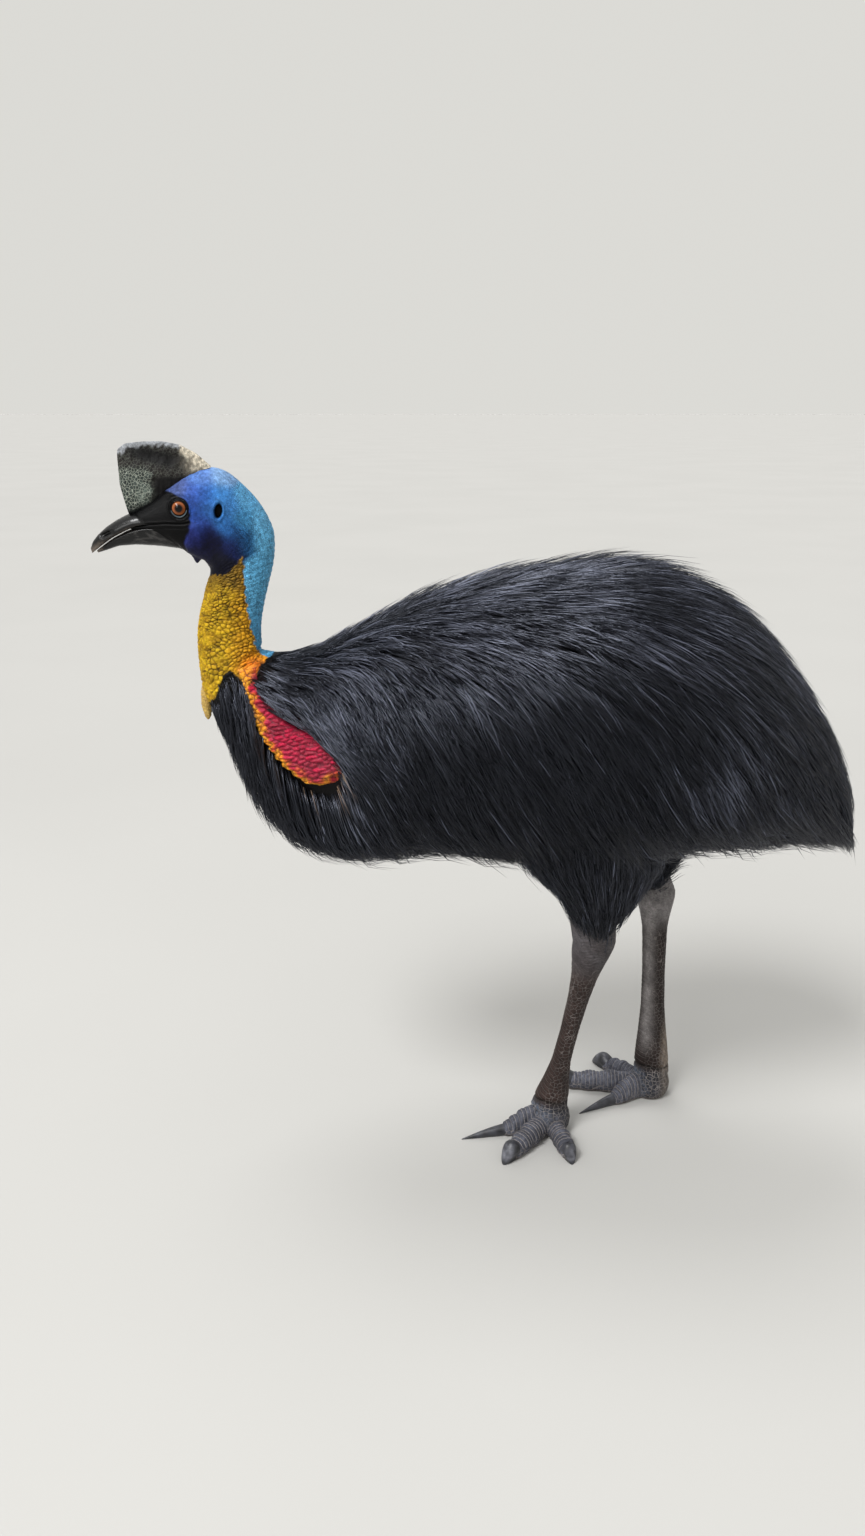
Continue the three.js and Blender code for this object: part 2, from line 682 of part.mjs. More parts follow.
// Sections of the feathered thigh from the hip to the ankle: share of the way down, then radii.
const THIGH_SECTIONS = [
  { share: 0, along: 118, across: 64 },
  { share: 0.32, along: 112, across: 60 },
  { share: 0.54, along: 88, across: 54 },
  { share: 0.71, along: 64, across: 46 },
  { share: 0.86, along: 45, across: 38 },
  { share: 1, along: 31, across: 30 },
];
const SHANK_SECTIONS = [
  { share: -0.05, along: 25, across: 23 },
  { share: 0, along: 28, across: 25 },
  { share: 0.05, along: 29.5, across: 26 },
  { share: 0.12, along: 27, across: 24 },
  { share: 0.22, along: 22, across: 20 },
  { share: 0.45, along: 20, across: 18 },
  { share: 0.7, along: 17.5, across: 16.5 },
  { share: 0.86, along: 18, across: 17 },
  { share: 0.95, along: 23, across: 21 },
  { share: 1, along: 28, across: 25 },
];

// Height at which the bare shank leaves the thigh's feathers.
function shankTop(leg) {
  return lerp(leg.ankle[2], leg.foot[2], SHANK_SECTIONS[0].share);
}

// A point of the feathered thigh: share of the way down, angle round it, and share of the coat.
const THIGH_COAT = 14;

function thighPoint(leg, share, angle, level) {
  const hip = vec(...leg.hip);
  const ankle = vec(...leg.ankle);
  const end = (hip.z - shankTop(leg) - GAP) / (hip.z - ankle.z);
  const held = clamp(share, 0, 1);
  const next = Math.max(THIGH_SECTIONS.findIndex((section) => section.share >= held), 1);
  const [from, to] = [THIGH_SECTIONS[next - 1], THIGH_SECTIONS[next]];
  const mix = (held - from.share) / (to.share - from.share);
  const depth = THIGH_COAT * (1 - level);
  const point = hip.lerp(ankle, share * end);
  point.x += Math.cos(angle) * (lerp(from.along, to.along, mix) - depth);
  point.y += Math.sin(angle) * (lerp(from.across, to.across, mix) - depth);
  return point;
}

function thighCore(leg, grow = 0) {
  const level = grow / THIGH_COAT;
  return loft([0.16, 0.32, 0.54, 0.71, 0.86, 1].map((share) => (
    Array.from({ length: 14 }, (_, i) => thighPoint(leg, share, (i / 14) * Math.PI * 2, level)))));
}

const THIGH_ROWS = [
  { share: 0.42, reach: 0.4, count: 6, width: 60, thick: 5 },
  { share: 0.62, reach: 0.4, count: 5, width: 50, thick: 5 },
];

function thighLocks(leg, seed, grow = 0) {
  const random = randomFrom(seed);
  const locks = [];
  THIGH_ROWS.forEach(({ share, reach, count, width, thick }, row) => {
    for (let k = 0; k < count; k++) {
      const angle = ((k + (row % 2) * 0.5 + 0.2 * random()) / count) * Math.PI * 2;
      const length = reach * (0.92 + 0.16 * random());
      const spine = LOCK_WIDTHS.map((_, i) => {
        const step = i / (LOCK_WIDTHS.length - 1);
        const level = lerp(-0.3, 1, step ** 0.8);
        const point = thighPoint(leg, share + length * step, angle, level);
        const down = thighPoint(leg, share + length * step + 0.02, angle, level).sub(point);
        const round = thighPoint(leg, share + length * step, angle + 0.05, level).sub(point);
        return { point, out: down.cross(round).normalize() };
      });
      locks.push(lockSolid(spine, width, thick, grow));
    }
  });
  return locks;
}

function thighPieces(leg, seed) {
  return joined([thighCore(leg), ...thighLocks(leg, seed)]);
}

function buildShank(leg) {
  const ankle = vec(...leg.ankle);
  const foot = vec(...leg.foot);
  const rings = SHANK_SECTIONS.map(({ share, along, across }) => (
    ovalRing(ankle.clone().lerp(foot, share), along, across)));
  return loft(rings);
}

const FOOT_SPAN = 240;

// A ring across a toe: its sole is flat on the floor and its back is round.
function toeRing(origin, direction, distance, width, height, sides = TOE_SIDES) {
  const across = vec(-direction.y, direction.x, 0);
  const ring = [];
  for (let i = 0; i < sides; i++) {
    const angle = ((i + 0.5) / sides) * Math.PI * 2;
    const lift = height * (0.42 - 0.58 * Math.cos(angle));
    const point = origin.clone().addScaledVector(direction, distance);
    point.addScaledVector(across, Math.sin(angle) * width);
    point.z = Math.max(lift, 0);
    ring.push(point);
  }
  return ring;
}

function toeDirection(angle) {
  const turn = degToRad(angle);
  return vec(-Math.cos(turn), -Math.sin(turn), 0);
}

// Half width of a toe along its length: it narrows and swells at each pad.
function padWidth(toe, share) {
  return toe.width * (1 - 0.22 * share - 0.1 * Math.cos(share * Math.PI * 6));
}

function toeHeight(toe, share) {
  return toe.width * 2 * (1.05 - 0.35 * share - 0.06 * Math.cos(share * Math.PI * 6));
}

function toeRun(leg, toe, from, to, steps) {
  const origin = vec(leg.foot[0], leg.foot[1], 0);
  const direction = toeDirection(toe.angle);
  const rings = [];
  for (let i = 0; i <= steps; i++) {
    const distance = lerp(from, to, i / steps);
    const share = clamp((distance - leg.toeRoot) / (toe.reach - leg.toeRoot), 0, 1);
    rings.push(toeRing(origin, direction, distance, padWidth(toe, share), toeHeight(toe, share)));
  }
  return loft(rings);
}

function buildFoot(leg) {
  const [x, y, z] = leg.foot;
  const pad = new THREE.SphereGeometry(1, 12, 7);
  pad.scale(36, 34, 44);
  pad.translate(x, y, 30);
  const solids = [solidOf(pad)];
  for (const toe of Object.values(leg.toes)) {
    solids.push(toeRun(leg, toe, 8, leg.toeRoot, 2));
  }
  const keep = new THREE.BoxGeometry(FOOT_SPAN, FOOT_SPAN, z - GAP);
  keep.translate(x, y, (z - GAP) / 2);
  return joined(solids).intersect(solidOf(keep));
}

function buildToe(leg, toe) {
  return toeRun(leg, toe, leg.toeRoot + GAP, toe.reach, 6);
}

function buildClaw(leg, toe) {
  const origin = vec(leg.foot[0], leg.foot[1], 0);
  const direction = toeDirection(toe.angle);
  const rings = [];
  const steps = 4;
  for (let i = 0; i <= steps; i++) {
    const share = i / steps;
    const distance = toe.reach + GAP + toe.claw * share;
    const width = toe.width * 0.62 * (1 - share) ** 0.75 + 0.8;
    rings.push(toeRing(origin, direction, distance, width, width * 2.1));
  }
  return loft(rings);
}

// Feathered nodes, each cut clear of those that lie over it
const breastGrown = breastPieces(COAT_GAP);
const torsoGrown = torsoPieces(COAT_GAP);
const tailGrown = tailPieces(COAT_GAP);
const breast = breastPieces();
const torso = torsoPieces().subtract(breastGrown);
const tail = tailPieces().subtract(torsoGrown);

// The bird

const bird = new THREE.Group();
const headGroup = new THREE.Group();
headGroup.position.set(
  HEAD_PIVOT_X * (1 - Math.cos(HEAD_YAW)),
  HEAD_SIDE - HEAD_PIVOT_X * Math.sin(HEAD_YAW),
  0,
);
headGroup.rotation.z = HEAD_YAW;
bird.add(headGroup);

headGroup.add(
  part('head', buildHead(), COLOURS.headSkin, 0.5),
  part('casque', buildCasque(), COLOURS.casque, 0.6),
  part('beak_upper', buildUpperBill(), COLOURS.bill, 0.3),
  part('beak_lower', buildLowerBill(), COLOURS.bill, 0.3),
  part('eye_left', buildEye(-1), COLOURS.eye, 0.1),
  part('eye_right', buildEye(1), COLOURS.eye, 0.1),
);

bird.add(
  part('neck_upper', buildNeckUpper(), COLOURS.neckSkin),
  part('neck_lower', buildNeckLower(), COLOURS.neckSkin),
  part('wattle', wattleSolid().subtract(neckLowerGrown).subtract(breastGrown), COLOURS.wattle),
  part('breast', breast, COLOURS.plumage),
  part('torso', torso, COLOURS.plumage),
  part('tail', tail, COLOURS.plumage),
);

for (const [name, side] of Object.entries(SIDES)) {
  const cores = breastCore(GAP).add(torsoCore(GAP));
  const strip = stripSolid(side).subtract(cores).subtract(neckLowerGrown);
  const wing = wingSolid(side).subtract(cores);
  bird.add(
    part(`neck_strip_${name}`, strip, COLOURS.stripSkin),
    part(`wing_${name}`, wing, COLOURS.plumage),
  );
}

for (const [name, leg] of Object.entries(LEGS)) {
  const thigh = thighPieces(leg, leg.foot[0]).subtract(torsoGrown).subtract(tailGrown);
  bird.add(
    part(`thigh_${name}`, thigh, COLOURS.plumage),
    part(`shank_${name}`, buildShank(leg), COLOURS.leg),
    part(`foot_${name}`, buildFoot(leg), COLOURS.toe),
  );
  for (const [toeName, toe] of Object.entries(leg.toes)) {
    bird.add(
      part(`toe_${name}_${toeName}`, buildToe(leg, toe), COLOURS.toe),
      part(`claw_${name}_${toeName}`, buildClaw(leg, toe), COLOURS.claw),
    );
  }
}

export default bird;
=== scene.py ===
"""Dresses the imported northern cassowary: skin, plumage, horn, scales, eyes, floor, light and camera.

Sizes are in millimetres and become metres in the meshes. The bird faces -X, its left side is -Y
and it stands on z = 0, as in the frame.
"""

import logging
import math
from dataclasses import dataclass, field, fields
from enum import Enum

import bpy
import numpy as np
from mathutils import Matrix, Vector, kdtree


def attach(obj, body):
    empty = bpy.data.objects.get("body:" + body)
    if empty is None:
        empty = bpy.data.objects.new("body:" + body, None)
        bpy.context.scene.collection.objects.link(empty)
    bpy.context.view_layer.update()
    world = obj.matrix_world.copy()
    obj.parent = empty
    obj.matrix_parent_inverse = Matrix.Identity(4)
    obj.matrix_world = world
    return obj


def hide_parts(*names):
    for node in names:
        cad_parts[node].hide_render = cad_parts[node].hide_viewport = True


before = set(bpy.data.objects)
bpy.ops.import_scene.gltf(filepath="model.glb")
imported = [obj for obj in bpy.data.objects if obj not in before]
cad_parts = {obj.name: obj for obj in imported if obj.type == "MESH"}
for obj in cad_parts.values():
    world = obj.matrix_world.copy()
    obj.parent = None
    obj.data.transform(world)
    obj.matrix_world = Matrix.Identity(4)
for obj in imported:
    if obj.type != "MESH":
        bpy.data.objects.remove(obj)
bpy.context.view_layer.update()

MM = 0.001
LOG = logging.getLogger("cassowary")
Array = np.ndarray
Piece = bpy.types.Object
Material = bpy.types.Material


class Side(Enum):
    """Left or right side of the bird, with the sign of Y on it."""

    LEFT = -1
    RIGHT = 1

    @property
    def label(self) -> str:
        """Name used in the frame's nodes."""
        return self.name.lower()


# Numbers and colours


def ramp(value: Array, low: float, high: float) -> Array:
    """Rises smoothly from 0 at low to 1 at high."""
    share = np.clip((np.asarray(value, float) - low) / (high - low), 0.0, 1.0)
    return share * share * (3 - 2 * share)


def bump(value: Array, centre: float, width: float) -> Array:
    """A round hump of height 1 about a centre."""
    return np.exp(-(((value - centre) / width) ** 2))


def mix(start: Array, end: Array, share: Array) -> Array:
    """Value between start and end."""
    return start + (end - start) * share


def unit(vectors: Array) -> Array:
    """Vectors scaled to length 1, along the last axis."""
    length = np.linalg.norm(vectors, axis=-1, keepdims=True)
    return vectors / np.maximum(length, 1e-12)


def smoothed(values: Array, passes: int) -> Array:
    """Values rounded off between the first and the last, which stay."""
    for _ in range(passes):
        values[1:-1] = (values[:-2] + 2 * values[1:-1] + values[2:]) / 4
    return values


def distance_along(points: Array) -> Array:
    """Distance of each point from the first, along the line through them all."""
    return np.concatenate([[0], np.cumsum(np.linalg.norm(np.diff(points, axis=0), axis=1))])


def spread_evenly(count: int) -> tuple[Array, Array]:
    """Two numbers from 0 to 1 for each of many roots, which fill a square evenly."""
    index = np.arange(1, count + 1)
    return np.mod(index * 0.7548776662466927, 1), np.mod(index * 0.5698402909980532, 1)


def linear(colour: str) -> Array:
    """Linear red, green and blue of an sRGB colour written as #rrggbb."""
    parts = [int(colour[i : i + 2], 16) / 255 for i in (1, 3, 5)]
    return np.array([c / 12.92 if c <= 0.04045 else ((c + 0.055) / 1.055) ** 2.4 for c in parts])


def over(tint: Array, colour: str, share: Array) -> Array:
    """Colours with a share of a hex colour laid over each."""
    return mix(tint, linear(colour), share[:, None])


def noise_at(points: Array, size: float, seed: int) -> Array:
    """Smooth random number from 0 to 1 at each point.

    Args:
        points: Places in millimetres, one row each.
        size: Size of a blotch in millimetres.
        seed: Seed of the pattern.

    Returns:
        One number for each point.
    """
    rng = np.random.default_rng(seed)
    total = np.zeros(len(points))
    waves = 14
    for _ in range(waves):
        direction = unit(rng.normal(size=3)) * rng.uniform(0.5, 2.1) / size
        total += np.sin(points @ direction * 2 * np.pi * 0.5 + rng.uniform(0, 2 * np.pi))
    return 0.5 + 0.5 * np.clip(total / math.sqrt(waves * 0.5) / 1.8, -1, 1)


def cells(u: Array, v: Array, columns: int, seed: float, jitter: float = 0.3) -> tuple[Array, Array]:
    """A jittered honeycomb that wraps round a limb.

    Args:
        u: Place round the limb, in cells.
        v: Place along it, in cells.
        columns: Number of cells round the limb.
        seed: Seed of the jitter.
        jitter: How far a cell's middle strays, in cells.

    Returns:
        Distance to the nearest edge, and a random number for each point's cell.
    """
    near = np.full(u.shape, 9.0)
    second = np.full(u.shape, 9.0)
    owner = np.zeros(u.shape)
    row0 = np.floor(v)
    for row_step in (-1, 0, 1):
        row = row0 + row_step
        shift = 0.5 * np.mod(row, 2)
        column0 = np.floor(u - shift)
        for column_step in (-1, 0, 1):
            column = column0 + column_step
            key = np.mod(column, columns) * 12.9898 + row * 78.233 + seed
            first = np.mod(np.sin(key) * 43758.5453, 1)
            other = np.mod(np.sin(key * 1.37 + 4.1) * 24634.6345, 1)
            du = column + 0.5 + shift + jitter * (first - 0.5) * 2 - u
            dv = row + 0.5 + jitter * (other - 0.5) * 2 - v
            distance = np.hypot(du, dv)
            closer = distance < near
            second = np.where(closer, near, np.minimum(second, distance))
            owner = np.where(closer, first, owner)
            near = np.where(closer, distance, near)
    return second - near, owner


# Meshes


def deselect_all() -> None:
    """Leaves nothing selected, so that an operator acts only on what is picked next."""
    bpy.ops.object.select_all(action="DESELECT")


def pick(obj: Piece) -> None:
    """Makes an object the only one selected, and the active one."""
    deselect_all()
    obj.select_set(True)
    bpy.context.view_layer.objects.active = obj


def mesh_object(name: str, points: Array, faces: list[Array]) -> Piece:
    """A mesh object from points and arrays of faces.

    Args:
        name: Name of the piece.
        points: Places in metres, one row each.
        faces: Arrays of corner indices, each with one face to a row.

    Returns:
        The new object, at the origin.
    """
    mesh = bpy.data.meshes.new(name)
    mesh.vertices.add(len(points))
    mesh.vertices.foreach_set("co", np.asarray(points, np.float32).ravel())
    corners = np.concatenate([face.ravel() for face in faces]).astype(np.int32)
    sizes = np.concatenate([np.full(len(face), face.shape[1]) for face in faces])
    starts = np.concatenate([[0], np.cumsum(sizes)[:-1]]).astype(np.int32)
    mesh.loops.add(len(corners))
    mesh.loops.foreach_set("vertex_index", corners)
    mesh.polygons.add(len(sizes))
    mesh.polygons.foreach_set("loop_start", starts)
    mesh.polygons.foreach_set("use_smooth", np.ones(len(sizes), bool))
    mesh.update(calc_edges=True)
    obj = bpy.data.objects.new(name, mesh)
    bpy.context.scene.collection.objects.link(obj)
    return obj


def grid_faces(rows: int, columns: int) -> Array:
    """Quads of a grid whose columns wrap round, as a loft's do."""
    i, j = np.meshgrid(np.arange(rows - 1), np.arange(columns), indexing="ij")
    k = (j + 1) % columns
    corners = [i * columns + j, i * columns + k, (i + 1) * columns + k, (i + 1) * columns + j]
    return np.stack(corners, axis=-1).reshape(-1, 4)


def loft(name: str, rings: Array) -> Piece:
    """A closed skin over rings of points, capped at both ends.

    Args:
        name: Name of the piece.
        rings: Places in metres, as rings, points, xyz.

    Returns:
        The new object, with its faces pointing out.
    """
    rows, columns, _ = rings.shape
    caps = np.array([np.arange(columns)[::-1], (rows - 1) * columns + np.arange(columns)])
    obj = mesh_object(name, rings.reshape(-1, 3), [grid_faces(rows, columns), caps])
    face_outwards(obj)
    return obj


def face_outwards(obj: Piece) -> None:
    """Turns every face of a closed mesh outwards."""
    pick(obj)
    bpy.ops.object.mode_set(mode="EDIT")
    bpy.ops.mesh.select_all(action="SELECT")
    bpy.ops.mesh.normals_make_consistent(inside=False)
    bpy.ops.object.mode_set(mode="OBJECT")


def places_of(obj: Piece) -> Array:
    """Places of a mesh's points in millimetres, one row each."""
    flat = np.empty(len(obj.data.vertices) * 3, np.float32)
    obj.data.vertices.foreach_get("co", flat)
    return flat.reshape(-1, 3).astype(float) / MM


def normals_of(obj: Piece) -> Array:
    """Directions that a mesh's points face, one row each."""
    flat = np.empty(len(obj.data.vertices) * 3, np.float32)
    obj.data.vertex_normals.foreach_get("vector", flat)
    return flat.reshape(-1, 3).astype(float)


def set_places(obj: Piece, places: Array) -> None:
    """Moves a mesh's points to places in millimetres."""
    obj.data.vertices.foreach_set("co", (places * MM).astype(np.float32).ravel())
    obj.data.update()


def set_number(obj: Piece, name: str, values: Array) -> None:
    """Stores one number for each point of a mesh, for its material."""
    layer = obj.data.attributes.get(name) or obj.data.attributes.new(name, "FLOAT", "POINT")
    layer.data.foreach_set("value", np.asarray(values, np.float32))


def number_of(obj: Piece, name: str) -> Array:
    """The number stored under a name for each point of a mesh."""
    flat = np.empty(len(obj.data.vertices), np.float32)
    obj.data.attributes[name].data.foreach_get("value", flat)
    return flat.astype(float)


def set_tint(obj: Piece, colours: Array) -> None:
    """Stores one linear colour for each point of a mesh, for its material."""
    layer = obj.data.attributes.get("tint") or obj.data.attributes.new("tint", "FLOAT_COLOR", "POINT")
    full = np.concatenate([np.clip(colours, 0, 1), np.ones((len(colours), 1))], axis=1)
    layer.data.foreach_set("color", full.astype(np.float32).ravel())


def apply_modifier(obj: Piece, kind: str, **settings: object) -> None:
    """Adds a modifier with its settings and applies it."""
    pick(obj)
    made = obj.modifiers.new(kind.title(), kind)
    for key, value in settings.items():
        setattr(made, key, value)
    bpy.ops.object.modifier_apply(modifier=made.name)


def finish_piece(obj: Piece, material: Material, nodes: tuple[str, ...]) -> Piece:
    """Gives a piece its material, its body and the nodes that it stands for.

    Args:
        obj: The piece.
        material: Its finish.
        nodes: Names of the frame's nodes that it replaces.

    Returns:
        The piece.
    """
    obj.data.materials.clear()
    obj.data.materials.append(material)
    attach(obj, "root")
    if nodes:
        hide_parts(*nodes)
    LOG.info("%s: %d points", obj.name, len(obj.data.vertices))
    return obj


# Materials


def add(
    tree: bpy.types.NodeTree, kind: str, inputs: dict | None = None, out: str | int = 0, **settings: object
) -> bpy.types.NodeSocket:
    """Adds a node with its settings, values and links.

    Args:
        tree: The material's node tree.
        kind: The node's type name, after ShaderNode.
        inputs: Socket name or number to a value, or to the socket that feeds it.
        out: Name or number of the output that is wanted.
        settings: The node's own properties. stops is a colour ramp's list of place and hex colour.

    Returns:
        That output.
    """
    made = tree.nodes.new("ShaderNode" + kind)
    stops = settings.pop("stops", None)
    for key, value in settings.items():
        setattr(made, key, value)
    if stops:
        elements = made.color_ramp.elements
        while len(elements) < len(stops):
            elements.new(1.0)
        for element, (place, colour) in zip(elements, stops):
            element.position = place
            element.color = (*linear(colour), 1.0)
    for key, value in (inputs or {}).items():
        socket = made.inputs[key]
        if isinstance(value, bpy.types.NodeSocket):
            tree.links.new(value, socket)
        else:
            socket.default_value = value
    return made.outputs[out]


@dataclass(frozen=True)
class Finish:
    """A finish: its name and the shader values that are the same all over."""

    name: str
    roughness: float = 0.5
    specular: float = 0.5
    ior: float = 1.5
    coat: float = 0.0
    coat_roughness: float = 0.04

    def start(self) -> tuple[Material, bpy.types.NodeTree, bpy.types.Node]:
        """A new material, its node tree and its shader."""
        material = bpy.data.materials.new(self.name)
        material.use_nodes = True
        tree = material.node_tree
        shader = tree.nodes["Principled BSDF"]
        shader.inputs["Roughness"].default_value = self.roughness
        shader.inputs["Specular IOR Level"].default_value = self.specular
        shader.inputs["IOR"].default_value = self.ior
        shader.inputs["Coat Weight"].default_value = self.coat
        shader.inputs["Coat Roughness"].default_value = self.coat_roughness
        return material, tree, shader


@dataclass(frozen=True)
class BareSkin(Finish):
    """Bare bird skin, painted thin over blood and fat: soft mottling and pores tell the eye it is alive,
    and the crease network, where the mesh asks for it, that it is loose and dry. The creases are
    painted darker, as painted shade in them."""

    mottle_mm: float = 3.0
    pore_mm: float = 0.9
    crease_mm: float = 2.3
    relief: float = 0.0007

    def make(self) -> Material:
        """Builds the material."""
        material, tree, shader = self.start()
        place = add(tree, "TexCoord", out="Object")
        tint = add(tree, "Attribute", attribute_name="tint")
        gloss = add(tree, "Attribute", attribute_name="gloss", out="Fac")
        grain = add(tree, "Attribute", attribute_name="grain", out="Fac")
        scale = 1 / (self.mottle_mm * MM)
        noise = {"Vector": place, "Scale": scale, "Detail": 5.0, "Roughness": 0.65}
        mottle = add(tree, "TexNoise", noise)
        span = {"Value": mottle, "From Min": 0.28, "From Max": 0.72, "To Min": 0.6, "To Max": 1.35}
        shade = add(tree, "MapRange", span)
        # Painted shade: the colour is darkened along the creases, as far as grain asks.
        crossing = {"Vector": place, "Scale": 1 / (self.crease_mm * MM)}
        creases = add(tree, "TexVoronoi", crossing, feature="DISTANCE_TO_EDGE")
        low = add(tree, "Math", {0: grain, 1: -0.7, 2: 1.0}, operation="MULTIPLY_ADD")
        span = {"Value": creases, "From Max": 0.16, "To Min": low}
        crease = add(tree, "MapRange", span)
        dark = add(tree, "Math", {0: shade, 1: crease}, operation="MULTIPLY")
        colour = add(tree, "VectorMath", {0: tint, 1: dark}, operation="MULTIPLY")
        tree.links.new(colour, shader.inputs["Base Color"])
        span = {"Value": gloss, "To Min": self.roughness, "To Max": 0.24}
        rough = add(tree, "MapRange", span)
        tree.links.new(rough, shader.inputs["Roughness"])
        spots = {"Vector": place, "Scale": 1 / (self.pore_mm * MM)}
        pores = add(tree, "TexVoronoi", spots)
        height = add(tree, "Math", {0: pores, 1: 0.5, 2: mottle}, operation="MULTIPLY_ADD")
        height = add(tree, "Math", {0: crease, 1: 1.6, 2: height}, operation="MULTIPLY_ADD")
        bend = {"Height": height, "Distance": self.relief, "Strength": 0.6}
        tree.links.new(add(tree, "Bump", bend), shader.inputs["Normal"])
        return material


@dataclass(frozen=True)
class ScaledSkin(Finish):
    """Scaled leg hide: dry horny scales with pale dusty seams, as cells or as scutes across the run,
    which tell the eye it is tough and old. On the foot the pale seams are also a painted highlight
    along the scute edges."""

    cell_mm: float = 7.0
    scute_mm: float = 6.4
    seam: str = "#948d8a"
    relief: float = 0.0016

    def make(self) -> Material:
        """Builds the material."""
        material, tree, shader = self.start()
        place = add(tree, "TexCoord", out="Object")
        tint = add(tree, "Attribute", attribute_name="tint")
        marks = ("network", "scute", "run", "dust")
        network, scute, run, dust = (
            add(tree, "Attribute", attribute_name=mark, out="Fac") for mark in marks
        )
        mottling = {"Vector": place, "Scale": 1 / (2.2 * MM), "Detail": 6.0, "Roughness": 0.7}
        mottle = add(tree, "TexNoise", mottling)
        crossing = {"Vector": place, "Scale": 1 / (self.cell_mm * MM), "Randomness": 0.8}
        edge = add(tree, "TexVoronoi", crossing, feature="DISTANCE_TO_EDGE")
        span = {"Value": edge, "From Min": 0.01, "From Max": 0.07, "To Min": network, "To Max": 0.0}
        cell = add(tree, "MapRange", span)
        wavy = add(tree, "Math", {0: mottle, 1: 2.2, 2: run}, operation="MULTIPLY_ADD")
        fold = add(tree, "Math", {0: wavy, 1: self.scute_mm / 2}, operation="PINGPONG")
        span = {"Value": fold, "From Min": 0.1, "From Max": 0.6, "To Min": scute, "To Max": 0.0}
        line = add(tree, "MapRange", span)
        seams = add(tree, "Math", {0: cell, 1: line}, operation="MAXIMUM")
        span = {"Value": mottle, "From Min": 0.28, "From Max": 0.72, "To Min": 0.55, "To Max": 1.45}
        shade = add(tree, "MapRange", span)
        scaled = add(tree, "VectorMath", {0: tint, 1: shade}, operation="MULTIPLY")
        # Pale seams: dust, and on the foot also a painted highlight on the scute edges.
        part = add(tree, "Math", {0: seams, 1: dust}, operation="MULTIPLY")
        laid = {"Factor": part, 6: scaled, 7: (*linear(self.seam), 1.0)}
        mixed = add(tree, "Mix", laid, data_type="RGBA", out=2)
        tree.links.new(mixed, shader.inputs["Base Color"])
        raised = add(tree, "Math", {0: seams, 1: -1.0, 2: 1.0}, operation="MULTIPLY_ADD")
        height = add(tree, "Math", {0: mottle, 1: 0.35, 2: raised}, operation="MULTIPLY_ADD")
        bend = {"Height": height, "Distance": self.relief, "Strength": 0.7}
        tree.links.new(add(tree, "Bump", bend), shader.inputs["Normal"])
        return material


@dataclass(frozen=True)
class Horn(Finish):
    """Keratin horn, laid down in layers: growth streaks and, where the mesh asks for it, a net of pale
    cracks filled with dust tell the eye it is dead and weathered."""

    streak_mm: float = 1.6
    stretch: tuple[float, float, float] = (0.2, 1.0, 1.0)
    lean: float = 0.0
    contrast: float = 0.35
    craze_mm: float = 5.0
    craze: str = "#a3a99c"
    relief: float = 0.0004

    def make(self) -> Material:
        """Builds the material."""
        material, tree, shader = self.start()
        place = add(tree, "TexCoord", out="Object")
        tint = add(tree, "Attribute", attribute_name="tint")
        crazing = add(tree, "Attribute", attribute_name="craze", out="Fac")
        turned = {"Vector": place, "Rotation": (0.0, self.lean, 0.0), "Scale": self.stretch}
        along = add(tree, "Mapping", turned)
        noise = {"Vector": along, "Scale": 1 / (self.streak_mm * MM), "Detail": 7.0, "Roughness": 0.72}
        streaks = add(tree, "TexNoise", noise)
        span = {"Value": streaks, "From Min": 0.3, "From Max": 0.7}
        span |= {"To Min": 1 - self.contrast, "To Max": 1 + self.contrast}
        shade = add(tree, "MapRange", span)
        colour = add(tree, "VectorMath", {0: tint, 1: shade}, operation="MULTIPLY")
        wobble = add(tree, "VectorMath", {0: (0.0025,) * 3, 1: streaks}, operation="MULTIPLY")
        warped = add(tree, "VectorMath", {0: place, 1: wobble})
        crossing = {"Vector": warped, "Scale": 1 / (self.craze_mm * MM)}
        edge = add(tree, "TexVoronoi", crossing, feature="DISTANCE_TO_EDGE")
        span = {"Value": edge, "From Min": 0.01, "From Max": 0.09, "To Min": crazing, "To Max": 0.0}
        crack = add(tree, "MapRange", span)
        laid = {"Factor": crack, 6: colour, 7: (*linear(self.craze), 1.0)}
        mixed = add(tree, "Mix", laid, data_type="RGBA", out=2)
        tree.links.new(mixed, shader.inputs["Base Color"])
        span = {"Value": streaks, "To Min": self.roughness * 0.75, "To Max": self.roughness * 1.3}
        rough = add(tree, "MapRange", span)
        tree.links.new(rough, shader.inputs["Roughness"])
        height = add(tree, "Math", {0: crack, 1: -0.8, 2: streaks}, operation="MULTIPLY_ADD")
        bend = {"Height": height, "Distance": self.relief, "Strength": 0.6}
        tree.links.new(add(tree, "Bump", bend), shader.inputs["Normal"])
        return material


@dataclass(frozen=True)
class Feather(Finish):
    """Hair-like feather barbs: stiff black keratin threads, whose cool glint along each one tells the
    eye they are smooth and separate, and brown where the sun has bleached them. The grey-blue shade
    in the ramp is a painted glint, laid on whole barbs besides the shader's own."""

    # The stop at 0.6 is a painted grey-blue glint; the stops from 0.7 are sun-bleached brown.
    shades: tuple[tuple[float, str], ...] = (
        (0.0, "#020203"), (0.3, "#0a0b0e"), (0.42, "#1c1d23"), (0.6, "#646877"), (0.7, "#2b2624"),
        (0.84, "#62503f"), (1.0, "#98826d"),
    )

    def make(self) -> Material:
        """Builds the material."""
        material, tree, shader = self.start()
        tone = add(tree, "Attribute", attribute_name="tone", out="Fac")
        colour = add(tree, "ValToRGB", {"Fac": tone}, stops=self.shades)
        tree.links.new(colour, shader.inputs["Base Color"])
        shader.inputs["Specular Tint"].default_value = (*linear("#dde4fb"), 1.0)
        return material


